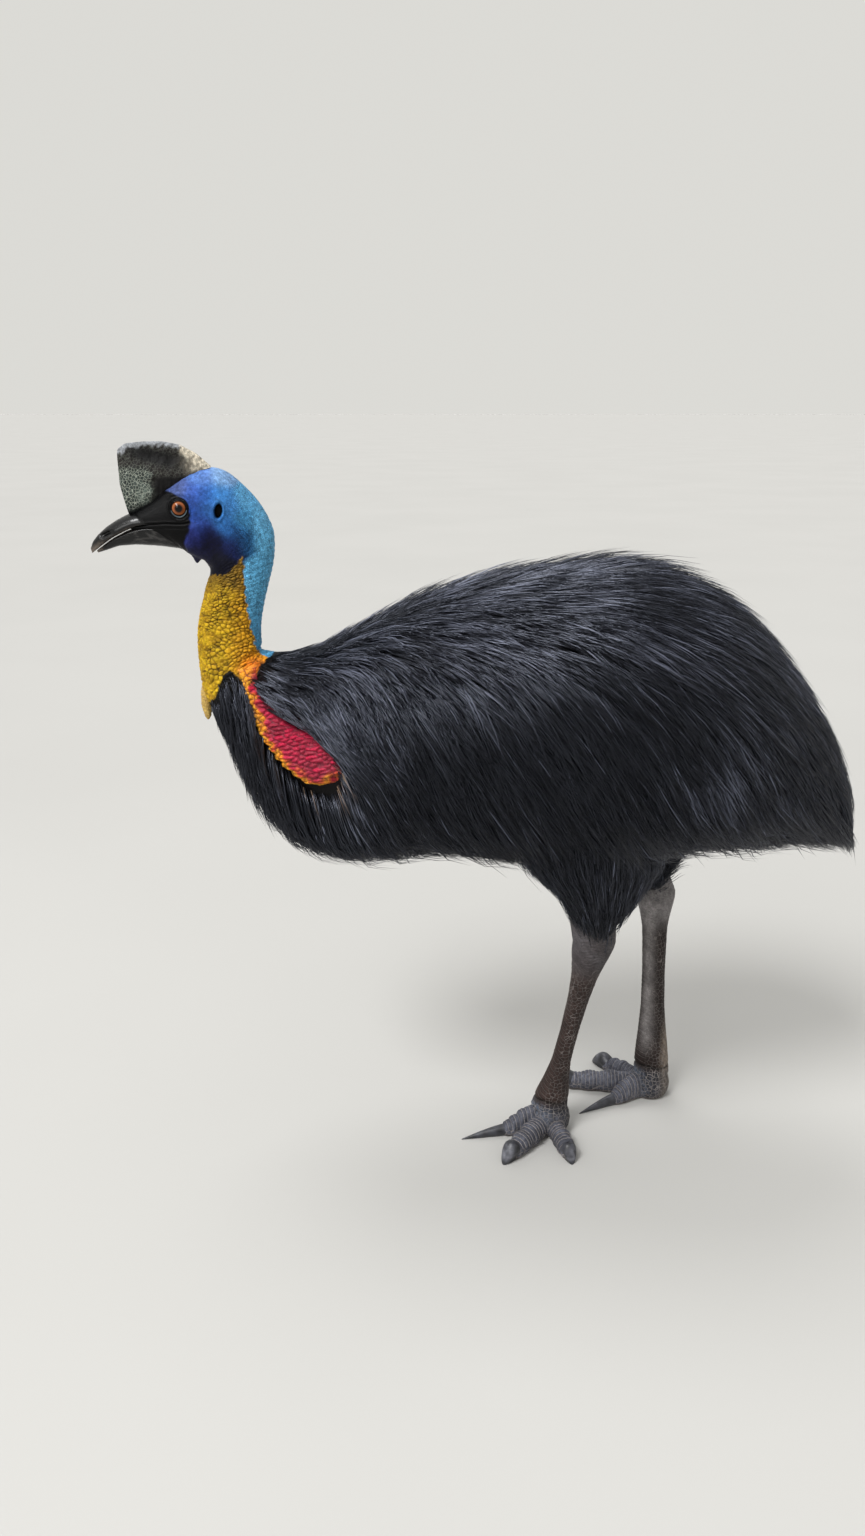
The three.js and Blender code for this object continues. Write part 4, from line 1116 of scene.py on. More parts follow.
@dataclass
class Casque:
    """The horn casque: a narrow blade, hollowed on its sides and worn pale along its top and back."""

    bases: tuple[tuple[float, float], ...] = (
        (-516, 1010), (-508, 1011), (-494, 1016), (-476, 1025), (-456, 1037), (-434, 1049), (-412, 1058),
        (-394, 1063),
    )
    crests: tuple[tuple[float, float], ...] = (
        (-526, 1052), (-526.5, 1098), (-515, 1106.5), (-492, 1109), (-466, 1109.5), (-441, 1105),
        (-418, 1092.5), (-400, 1076),
    )
    halves: tuple[float, ...] = (8, 12, 15, 17, 18, 17, 14, 7)
    rings: int = 150
    sides: int = 110
    hollow: float = 4.5
    pale: str = "#84878c"
    tan: str = "#b8ae9c"
    bark: str = "#1b1715"
    # dark is the black of the rear, and painted shade in the side hollows.
    dark: str = "#060506"
    moss: str = "#2c3330"
    light: str = "#525b55"
    base: str = "#0b0b0d"

    def build(self) -> Piece:
        """Builds the casque.

        Returns:
            The finished piece.
        """
        share = np.linspace(0, len(self.halves) - 1, self.rings)
        known = np.arange(len(self.halves))
        columns = (*zip(*self.bases), *zip(*self.crests), self.halves)
        columns = (smoothed(np.interp(share, known, column), 14) for column in columns)
        base_x, base_z, crest_x, crest_z, half = columns
        angle = np.arange(self.sides) / self.sides * 2 * np.pi
        rise = (0.5 - 0.5 * np.cos(angle))[None, :]
        across = (np.sign(np.sin(angle)) * np.abs(np.sin(angle)) ** 0.8)[None, :]
        taper = 1 - 0.45 * ramp(rise, 0.15, 1.0)
        x = mix(base_x[:, None], crest_x[:, None], rise)
        z = mix(base_z[:, None], crest_z[:, None], rise)
        y = across * half[:, None] * taper
        rings = np.stack([x, y + 0 * x, z], axis=-1)
        flat = rings.reshape(-1, 3)
        dent = self.dent(FORM.side_view(FORM.turned(flat, 1.0))).reshape(x.shape)
        rings[..., 1] -= np.sign(y) * np.minimum(self.hollow * dent, np.abs(y) * 0.6)
        flat = rings.reshape(-1, 3)
        lumps = (noise_at(flat, 11, 41) - 0.5) * 1.8 + (noise_at(flat, 4, 42) - 0.5) * 0.9
        flat[:, 1] += np.sign(flat[:, 1]) * lumps * ramp(np.abs(flat[:, 1]), 1, 5)
        obj = loft("casque_horn", FORM.on_head(flat.reshape(rings.shape)) * MM)
        self.colour(obj)
        weathered = Horn(
            "weathered_casque_keratin", roughness=0.62, specular=0.18, streak_mm=2.2, craze_mm=4.2,
            stretch=(1.0, 1.0, 0.6), contrast=0.75, relief=0.0011,
        )
        return finish_piece(obj, weathered.make(), ("casque",))

    def dent(self, seen: Array) -> Array:
        """How deep in the hollow of the side each place in the side view lies, from 0 to 1."""
        along = seen[:, 0] + 473
        off = seen[:, 1] - 1086 + 0.21 * along
        return np.exp(-((along / 46) ** 4) - (off / 12.0) ** 2)

    def colour(self, obj: Piece) -> None:
        """Paints the casque: mossy front, black rear, painted shade in the side's hollow, pale top rim and
        tan back.

        Args:
            obj: The casque.
        """
        flat = FORM.straightened(places_of(obj))
        seen = FORM.side_view(places_of(obj))
        x, z = seen.T
        crest = np.interp(x, [p[0] for p in self.crests[1:]], [p[1] for p in self.crests[1:]])
        below = crest - z
        fine = noise_at(flat, 5, 51)
        tint = np.tile(linear(self.bark), (len(flat), 1))
        moss = ramp(-482 - x + 10 * (fine - 0.5), 0, 16) * (1 - ramp(z, 1062, 1080))
        tint = over(tint, self.moss, moss)
        patch = np.exp(-(((x + 499) / 11) ** 2) - ((z - 1037) / 12) ** 2)
        tint = over(tint, self.light, np.clip(1.1 * patch * (0.5 + fine), 0, 0.9))
        rear = ramp(x, -492, -478) * (1 - ramp(z, 1056, 1066))
        tint = over(tint, self.dark, 0.85 * rear)
        # Painted shade: the hollow on each side is painted black.
        tint = over(tint, self.dark, np.clip(1.4 * self.dent(seen), 0, 1))
        rim = (1 - ramp(below + 6 * (fine - 0.5), 4, 9)) * (1 - ramp(x, -445, -432))
        tint = over(tint, self.pale, 0.85 * rim)
        back = np.exp(-(((x + 415) / 17) ** 2) - ((z - 1081) / 15) ** 4)
        back = np.maximum(back, ramp(x, -448, -436) * (1 - ramp(below, 10, 20)))
        tint = over(tint, self.tan, np.clip(0.9 * back * (0.7 + 0.5 * fine), 0, 0.95))
        foot = 1 - ramp(flat[:, 2] - np.interp(flat[:, 0], *zip(*self.bases)), 3, 15)
        tint = over(tint, self.base, 0.85 * foot)
        set_tint(obj, tint * (0.7 + 0.6 * fine)[:, None])
        cracked = 0.7 * moss + 0.2 * back + 0.15
        set_number(obj, "craze", np.clip(cracked * (1 - self.dent(seen)) * (1 - rear) * (1 - foot), 0, 0.8))


@dataclass(frozen=True)
class BillSection:
    """A section of the bill: ridge and edge as x and z, half width, and where it is widest."""

    ridge: tuple[float, float]
    edge: tuple[float, float]
    half: float
    widest: float


@dataclass
class Bill:
    """The glossy black bill: upper half hooked at its tip, with slit nostrils, and lower half."""

    upper: tuple[BillSection, ...] = (
        BillSection((-492, 1010), (-480, 996.5), 17, 0.12),
        BillSection((-508, 1014.5), (-494, 996), 22.3, 0.12),
        BillSection((-521, 1009.5), (-505, 995), 20.5, 0.14),
        BillSection((-535, 1002.5), (-521, 989), 17.2, 0.16),
        BillSection((-550, 993), (-541, 979), 13.7, 0.2),
        BillSection((-562, 982.5), (-556, 969), 10.2, 0.25),
        BillSection((-570, 973), (-566, 961.5), 6.4, 0.32),
        BillSection((-573.5, 964), (-571.5, 957.5), 2.4, 0.4),
    )
    lower: tuple[BillSection, ...] = (
        BillSection((-470, 996), (-436, 962), 18, 0.88), BillSection((-486, 994.6), (-449, 962), 22, 0.88),
        BillSection((-503, 994), (-476, 966), 19.5, 0.86),
        BillSection((-521, 988), (-508, 968.5), 15.5, 0.84), BillSection((-541, 978), (-534, 967), 12, 0.8),
        BillSection((-555, 968.6), (-551, 961.5), 8.5, 0.7), BillSection((-565, 961), (-563, 958), 3, 0.6),
    )
    black: str = "#030304"
    worn: str = "#85796f"
    streak: str = "#6a6866"
    rings: int = 96
    sides: int = 64
    nostril: tuple[float, float] = (-549.0, 984.5)

    def build(self) -> None:
        """Builds both halves."""
        material = Horn(
            "polished_bill_keratin", roughness=0.26, specular=0.22, coat=0.25, streak_mm=1.4,
            stretch=(0.18, 1.0, 1.0), lean=math.radians(-32), contrast=0.3, relief=0.00025,
        ).make()
        for name, node, sections in (
            ("bill_upper", "beak_upper", self.upper), ("bill_lower", "beak_lower", self.lower),
        ):
            obj = self.half_bill(name, sections)
            self.colour(obj, node == "beak_upper")
            finish_piece(obj, material, (node,))

    def half_bill(self, name: str, sections: tuple[BillSection, ...]) -> Piece:
        """Builds one half of the bill.

        Args:
            name: Name of the piece.
            sections: Its sections from root to tip.

        Returns:
            The new object.
        """
        known = np.arange(len(sections))
        share = np.linspace(0, known[-1], self.rings)
        rows = np.array([[*s.ridge, *s.edge, s.half, s.widest] for s in sections])
        columns = (smoothed(np.interp(share, known, column), 10)[:, None] for column in rows.T)
        ridge_x, ridge_z, edge_x, edge_z, half, widest = columns
        angle = (np.arange(self.sides) / self.sides * 2 * np.pi)[None, :]
        rise = np.cos(angle)
        share_up = widest + rise * np.where(rise > 0, 1 - widest, widest)
        across = np.sign(np.sin(angle)) * np.abs(np.sin(angle)) ** np.where(rise > 0, 1.25, 0.7)
        x = edge_x + (ridge_x - edge_x) * share_up
        z = edge_z + (ridge_z - edge_z) * share_up
        y = across * half
        if name == "bill_upper":
            away = ((x - self.nostril[0]) * 0.9 + (z - self.nostril[1]) * 0.42) / 9.0
            rise_off = (z - self.nostril[1]) * 0.9 - (x - self.nostril[0]) * 0.42
            slit = np.exp(-(away**4) - (rise_off / 2.3) ** 2)
            brow = np.exp(-(away**4) - ((rise_off - 4.5) / 2.0) ** 2)
            y = y - np.sign(y) * np.minimum(np.abs(y) * 0.7, 5.0 * slit - 0.9 * brow)
        rings = np.stack([x, y, z], axis=-1)
        return loft(name, FORM.on_head(rings) * MM)

    def colour(self, obj: Piece, upper: bool) -> None:
        """Paints one half: black, worn pale at the tip and along the cutting edge.

        Args:
            obj: The half.
            upper: Whether it is the upper one.
        """
        flat = FORM.straightened(places_of(obj))
        x, _, z = flat.T
        fine = noise_at(flat, 4, 61)
        tip = ramp(-552 - x + 8 * (fine - 0.5), 0, 16)
        edge_z = np.interp(x, [-571, -556, -541, -521, -503, -486], [958, 969.5, 979, 989, 995, 996])
        gap = z - edge_z if upper else edge_z - z
        edge = np.exp(-((gap / (2.8 if upper else 2.2)) ** 2)) * (0.25 + 0.6 * fine) * ramp(-496 - x, 0, 16)
        low = ramp(z, edge_z + 12, edge_z + 1) if upper else np.ones(len(x))
        lines = ramp(noise_at(flat * [0.25, 1, 1.4], 2.0, 63), 0.55, 0.85) * ramp(x, -540, -505)
        tint = np.tile(linear(self.black), (len(flat), 1))
        tint = over(tint, self.streak, 0.22 * lines * (0.1 if upper else 1))
        tint = over(tint, self.worn, np.clip(0.5 * tip * low + 0.4 * edge, 0, 0.65))
        set_tint(obj, tint)


@dataclass
class Wattle:
    """The small pendant fold at the front of the neck's base."""

    stations: tuple[tuple[float, float, float, float], ...] = (
        (-424, 770, 5.0, 5.5), (-427, 757, 6.5, 6.8), (-428.5, 744, 7.0, 7.4), (-429, 730, 7.0, 7.4),
        (-428, 717, 6.0, 6.4), (-427.5, 708, 4.0, 4.4), (-427.5, 703.5, 1.2, 1.4),
    )
    rings: int = 56
    sides: int = 40
    pale: str = "#c4a65a"
    rosy: str = "#b08c46"

    def build(self) -> Piece:
        """Builds the wattle.

        Returns:
            The finished piece.
        """
        known = np.arange(len(self.stations))
        share = np.linspace(0, known[-1], self.rings)
        rows = np.array(self.stations)
        x, z, half, deep = (np.interp(share, known, rows[:, k])[:, None] for k in range(4))
        angle = (np.arange(self.sides) / self.sides * 2 * np.pi)[None, :]
        wrinkle = 1 + 0.07 * np.sin(z * 1.3 + np.cos(angle) * 2) + 0.05 * np.sin(angle * 5 + z * 0.3)
        points = [x + np.cos(angle) * deep * wrinkle, np.sin(angle) * half * wrinkle, z + 0 * angle]
        obj = loft("wattle_skin_fold", np.stack(points, axis=-1) * MM)
        flat = places_of(obj)
        share = noise_at(flat, 6, 71)[:, None]
        set_tint(obj, mix(linear(self.pale), linear(self.rosy), share))
        set_number(obj, "gloss", np.zeros(len(flat)))
        set_number(obj, "grain", np.full(len(flat), 0.4))
        finish = BareSkin("soft_wattle_skin", roughness=0.55, specular=0.35, mottle_mm=2.0)
        return finish_piece(obj, finish.make(), ("wattle",))


COAT_LINE = (
    (-430, 728), (-421, 732), (-415, 737), (-410, 749), (-406, 761), (-401, 771), (-390, 781), (-382, 771),
    (-372, 762), (-352, 770), (-344, 789), (-330, 800), (-318, 811),
)


@dataclass
class SurfaceFinder:
    """Finds the skin's surface on one side from where the camera sees it, or its left twin."""

    side: Side
    tree: kdtree.KDTree = field(init=False)
    places: Array = field(init=False)
    facings: Array = field(init=False)

    def __post_init__(self) -> None:
        """Samples the breast's side closely."""
        place, angle = np.meshgrid(
            np.linspace(NECK_END - 2, NECK_END + 8, 300), np.radians(np.linspace(25, 165, 220))
        )
        place = place.ravel()
        angle = angle.ravel() * self.side.value
        self.places, facing = FORM.surface(place, angle, 0.0)
        self.facings = facing * np.sign(facing[:, 1] * self.side.value)[:, None]
        self.tree = kdtree.KDTree(len(place))
        for index, (x, z) in enumerate(FORM.side_view(self.places, FORM.values(place)[:, 6])):
            self.tree.insert((x, 0.0, z), index)
        self.tree.balance()

    def find(self, x: Array, z: Array) -> tuple[Array, Array]:
        """Places and facings of the surface under places in the side view."""
        found = [self.tree.find((a, 0.0, b))[1] for a, b in zip(x, z)]
        return self.places[found], self.facings[found]


@dataclass
class NeckStrips:
    """The bare crimson strip down each side of the neck's base: a teardrop of knobbly rows."""

    rows: tuple[tuple[float, float, float, float], ...] = (
        (-379, 781, -350, 791), (-372, 758, -351, 768), (-369, 740, -345, 748), (-363, 721, -334, 729),
        (-358, 702, -318, 711), (-352, 683, -304, 694), (-343, 667, -279, 684), (-333, 651, -254, 672),
        (-322, 635, -235, 660), (-307, 620, -226, 648), (-292, 607, -223, 634), (-277, 599, -226, 617),
        (-262, 597, -236, 603),
    )
    stops: int = 150
    across: int = 56
    knob: tuple[float, float] = (15.0, 7.5)
    crimson: str = "#aa1b3c"
    deep: str = "#5a1024"
    orange: str = "#dd7420"
    yellow: str = "#dca531"

    def edges(self) -> tuple[Array, Array]:
        """Front and rear edge at each stop, in the side view."""
        table = np.array(self.rows, float)
        middle = 0.5 * (table[:, :2] + table[:, 2:])
        known = distance_along(middle)
        share = np.linspace(0, known[-1], self.stops)
        fine = np.stack([np.interp(share, known, column) for column in table.T], axis=1)
        fine = smoothed(fine, 12)
        return fine[:, :2], fine[:, 2:]

    def behind(self, seen: Array) -> Array:
        """How far places in the side view lie behind the strip's middle line, in millimetres."""
        front, rear = self.edges()
        middle = 0.5 * (front + rear)[::-1]
        return seen[:, 0] - np.interp(seen[:, 1], middle[:, 1], middle[:, 0])

    def build(self) -> None:
        """Builds both strips."""
        finish = BareSkin(
            "wet_looking_caruncle_skin", roughness=0.5, specular=0.22, mottle_mm=2.5, relief=0.0006
        )
        material = finish.make()
        for side in Side:
            self.strip(side, material)

    def strip(self, side: Side, material: Material) -> None:
        """Builds one strip as a knobbly ridge over the skin.

        Args:
            side: The side of the neck.
            material: The strip's finish.
        """
        front, rear = self.edges()
        offset = np.linspace(0, 1, self.across)
        wave = 0.05 * np.sin(np.arange(self.stops) * 0.55)[:, None, None]
        spread = front[:, None] + (rear - front)[:, None] * (offset[None, :, None] * (1 + wave) - 0.5 * wave)
        x, z = spread[..., 0].ravel(), spread[..., 1].ravel()
        places, facings = SurfaceFinder(side).find(x, z)
        middle = 0.5 * (front + rear)
        run = distance_along(middle)
        chord = np.linalg.norm(rear - front, axis=1)
        length = np.repeat(run, self.across)
        start = np.repeat(np.linspace(0, 1, self.stops), self.across)
        wander = 0.5 * (noise_at(places, 16, 82) - 0.5)
        u = (offset[None, :] * chord[:, None]).ravel() / self.knob[0] + 40 + wander
        gap, owner = cells(u, length / self.knob[1] + wander, 400, 5.5, 0.3)
        dome = ramp(gap, 0, 0.8)
        centred = np.tile(2 * offset - 1, self.stops)
        profile = np.clip(1 - centred**2, 0, 1) ** 0.5
        ends = ramp(start, 0, 0.05) * (1 - 0.9 * ramp(start, 0.93, 1.0))
        bulk = mix(2.5, 8.0, ramp(start, 0.15, 0.7))
        rise = profile * ends * (bulk + 4.4 * dome + 1.8 * owner) - 0.8
        outer = (places + facings * rise[:, None]).reshape(self.stops, self.across, 3)
        under = np.linspace(self.across - 1, 0, 8).astype(int)
        inner = (places - facings * 4.0).reshape(self.stops, self.across, 3)[:, under]
        obj = loft(f"strip_{side.label}", np.concatenate([outer, inner], axis=1) * MM)
        tint = self.paint(places, offset, length, start, chord, gap, owner)
        hidden = np.zeros((self.stops, len(under), 3))
        full = np.concatenate([tint.reshape(self.stops, self.across, 3), hidden], axis=1)
        set_tint(obj, full.reshape(-1, 3))
        set_number(obj, "gloss", np.full(len(obj.data.vertices), 0.15))
        finish_piece(obj, material, (f"neck_strip_{side.label}",))

    def paint(
        self, places: Array, offset: Array, length: Array, start: Array, chord: Array, gap: Array,
        owner: Array,
    ) -> Array:
        """Colours of the strip: crimson knobs, clefts painted dark as painted shade, orange and yellow at its
        top and front edge.

        Args:
            places: Place of each point.
            offset: Shares of the way across.
            length: Distance of each point from the top.
            start: Share of the way from the top to the end.
            chord: Width at each stop.
            gap: Distance of each point to a cleft.
            owner: A random number for each knob.

        Returns:
            One linear colour for each point.
        """
        blotch = noise_at(places, 11, 83)
        inward = (offset[None, :] * chord[:, None]).ravel()
        front = 1 - ramp(inward + 12 * (blotch - 0.5) + 5 * (owner - 0.5), 8, 20)
        top = 0.85 * (1 - ramp(length + 22 * (blotch - 0.5) + inward, 24, 62))
        end = ramp(start + 0.1 * (blotch - 0.5), 0.93, 1.0)
        border = np.clip(np.maximum(np.maximum(front, top), 0.8 * end), 0, 1)
        dull = mix(linear("#8e2f40"), linear(self.crimson), (0.35 + 0.65 * owner)[:, None])
        tint = mix(dull, linear(self.orange), border[:, None]) * (0.8 + 0.4 * owner)[:, None]
        tint = over(tint, self.yellow, ramp(border, 0.55, 1.0) * (0.4 + 0.6 * blotch))
        # Painted shade: the clefts between the knobs are painted deep crimson.
        cleft = (1 - ramp(gap, 0.02, 0.25))[:, None]
        return mix(tint, linear(self.deep), 0.85 * cleft)

    def covers(self, seen: Array, margin: float) -> Array:
        """Whether places in the side view lie on the strip, or within a margin of it, less so at its rear."""
        front, rear = self.edges()
        covered = np.zeros(len(seen), bool)
        for a, b in zip(front[::4], rear[::4]):
            half = 0.5 * np.linalg.norm(b - a)
            middle = 0.5 * (a + b) + 5 * (a - b) / max(2 * half, 1)
            covered |= np.hypot(*(seen - middle).T) < half + margin
        return covered


# Plumage


HEM = (
    (-334, 533), (-306, 508), (-275, 490), (-241, 479), (-198, 477), (-167, 478), (-146, 488), (-118, 498),
    (-91, 508), (-34, 496), (4, 480), (50, 465), (92, 437), (120, 420), (127, 401), (133, 384), (143, 372),
    (159, 357), (178, 350), (195, 354), (209, 362), (229, 384), (250, 416), (264, 442), (277, 470),
    (307, 496), (339, 504), (395, 507), (435, 504), (474, 519), (523, 508), (555, 498), (580, 495),
)


@dataclass
class Barbs:
    """Barbs of a coat, one row each.

    paths holds levels and xyz in millimetres, and out the outward facing at each level. root is the
    place of the root on an unwrap of the skin and tone the shade at root and tip, all from 0 to 1.
    width is in millimetres.
    """

    paths: Array
    out: Array
    root: Array
    tone: Array
    width: Array

    def some(self, chosen: Array) -> "Barbs":
        """The chosen barbs alone."""
        return Barbs(*(getattr(self, part.name)[chosen] for part in fields(self)))


@dataclass
class CoatMaker:
    """Turns guide paths into clumps of hair-like barbs and writes them as closed meshes."""

    material: Material
    most: int = 8500
    levels: int = 5
    profile: tuple[float, ...] = (0.75, 1.0, 0.9, 0.55)
    patch: float = 0.003

    def strands(
        self, rng: np.random.Generator, path: Array, out: Array, spread: Array, barbs: int
    ) -> tuple[Array, Array]:
        """Barbs about each guide: they start spread over the skin and draw together to the tip.

        Args:
            rng: Seeded random numbers.
            path: Guides as guides, levels, xyz in millimetres.
            out: Outward facing at each point of a guide.
            spread: How far the barbs of each guide start from it, in millimetres.
            barbs: Number of barbs to a guide.

        Returns:
            Paths and outward facings of the barbs.
        """
        count = len(path)
        along = unit(np.gradient(path, axis=1))
        across = unit(np.cross(along, out))
        share = np.linspace(0, 1, self.levels)[None, None, :, None]
        close = 1 - 0.5 * share**1.3
        wide = np.asarray(spread)[:, None, None, None]
        side = rng.uniform(-1, 1, (count, barbs, 1, 1)) * wide
        ahead = rng.uniform(-1, 1, (count, barbs, 1, 1)) * wide * 1.6
        lift = rng.uniform(-1.5, 1.5, (count, barbs, 1, 1))
        stray = rng.normal(0, 1, (count, barbs, 1, 1)) * 0.75 * wide * share**2
        fly = np.abs(rng.normal(0, 1, (count, barbs, 1, 1))) * 0.32 * wide * share**2
        longer = 1 + rng.uniform(-0.2, 0.14, (count, barbs, 1, 1)) * share
        base = path[:, None, :1]
        grown = base + (path[:, None] - base) * longer
        paths = grown + across[:, None] * (side * close + stray) + along[:, None] * ahead
        paths = paths + out[:, None] * (lift + fly)
        shape = (count * barbs, self.levels, 3)
        return paths.reshape(shape), np.repeat(out, barbs, axis=0)

    def tones(self, rng: np.random.Generator, glinting: Array, barbs: int) -> Array:
        """Shade of each barb at its root and its tip: most black, some with a painted grey-blue glint.

        Args:
            rng: Seeded random numbers.
            glinting: Share of each guide's barbs that glint.
            barbs: Number of barbs to a guide.

        Returns:
            The two shades of each barb, from 0 to 0.62.
        """
        count = len(glinting) * barbs
        base = np.repeat(rng.uniform(0, 0.2, len(glinting)), barbs) + rng.uniform(0, 0.16, count)
        glint = (rng.random(count) < np.repeat(glinting, barbs)) * rng.uniform(0.24, 0.4, count)
        return np.minimum(np.stack([base + 0.6 * glint, base + glint], axis=1), 0.62)

    def write(self, name: str, barbs: Barbs, nodes: tuple[str, ...]) -> None:
        """Writes barbs as one or more closed meshes.

        Args:
            name: Name of the coat piece, which gets a number.
            barbs: The barbs.
            nodes: Names of the frame's nodes that the piece stands for.
        """
        count = len(barbs.paths)
        parts = math.ceil(count / self.most)
        for number, chosen in enumerate(np.array_split(np.arange(count), parts)):
            self.piece(f"{name}_{number + 1}", barbs.some(chosen), nodes)

    def piece(self, name: str, barbs: Barbs, nodes: tuple[str, ...]) -> None:
        """Writes one coat piece. Its arguments are those of write."""
        paths = barbs.paths
        count = len(paths)
        rings = len(self.profile)
        along = unit(np.gradient(paths, axis=1))
        across = unit(np.cross(along, barbs.out))
        face = unit(np.cross(across, along))
        half = 0.5 * barbs.width[:, None, None] * np.array(self.profile)[None, :, None]
        ring = paths[:, :rings]
        left = ring + across[:, :rings] * half - face[:, :rings] * half * 0.35
        right = ring - across[:, :rings] * half - face[:, :rings] * half * 0.35
        crest = ring + face[:, :rings] * half * 0.7
        body = np.stack([left, crest, right], axis=2).reshape(count, rings * 3, 3)
        points = np.concatenate([body, paths[:, -1:]], axis=1)
        each = rings * 3 + 1
        quads = []
        for level in range(rings - 1):
            for corner in range(3):
                after = (corner + 1) % 3
                low = level * 3
                quads.append([low + corner, low + after, low + 3 + after, low + 3 + corner])
        last = (rings - 1) * 3
        tips = [[last + k, last + (k + 1) % 3, rings * 3] for k in range(3)]
        tips.append([2, 1, 0])
        start = (np.arange(count) * each)[:, None, None]
        faces = [
            (np.array(quads)[None] + start).reshape(-1, 4), (np.array(tips)[None] + start).reshape(-1, 3),
        ]
        obj = mesh_object(name, points.reshape(-1, 3) * MM, faces)
        self.unwrap(obj, barbs.root, each, faces)
        grade = np.append(np.repeat(np.linspace(0, 0.85, rings), 3), 1.0)[None, :]
        set_number(obj, "tone", np.clip(mix(barbs.tone[:, :1], barbs.tone[:, 1:], grade).ravel(), 0, 1))
        finish_piece(obj, self.material, nodes)

    def unwrap(self, obj: Piece, root: Array, each: int, faces: list[Array]) -> None:
        """Gives each barb a small patch of the map at its root's place.

        Args:
            obj: The coat piece.
            root: Place of each barb's root on the map.
            each: Number of points to a barb.
            faces: The piece's faces, in the order of its corners.
        """
        corners = np.concatenate([face.ravel() for face in faces])
        barb = corners // each
        local = corners % each
        map_layer = obj.data.uv_layers.new(name="OFBake")
        u = root[barb, 0] + self.patch * (local % 3) / 3
        v = root[barb, 1] + self.patch * (local // 3) / (each // 3 + 1)
        flat = np.stack([u, v], axis=1).astype(np.float32).ravel()
        map_layer.data.foreach_set("uv", flat)


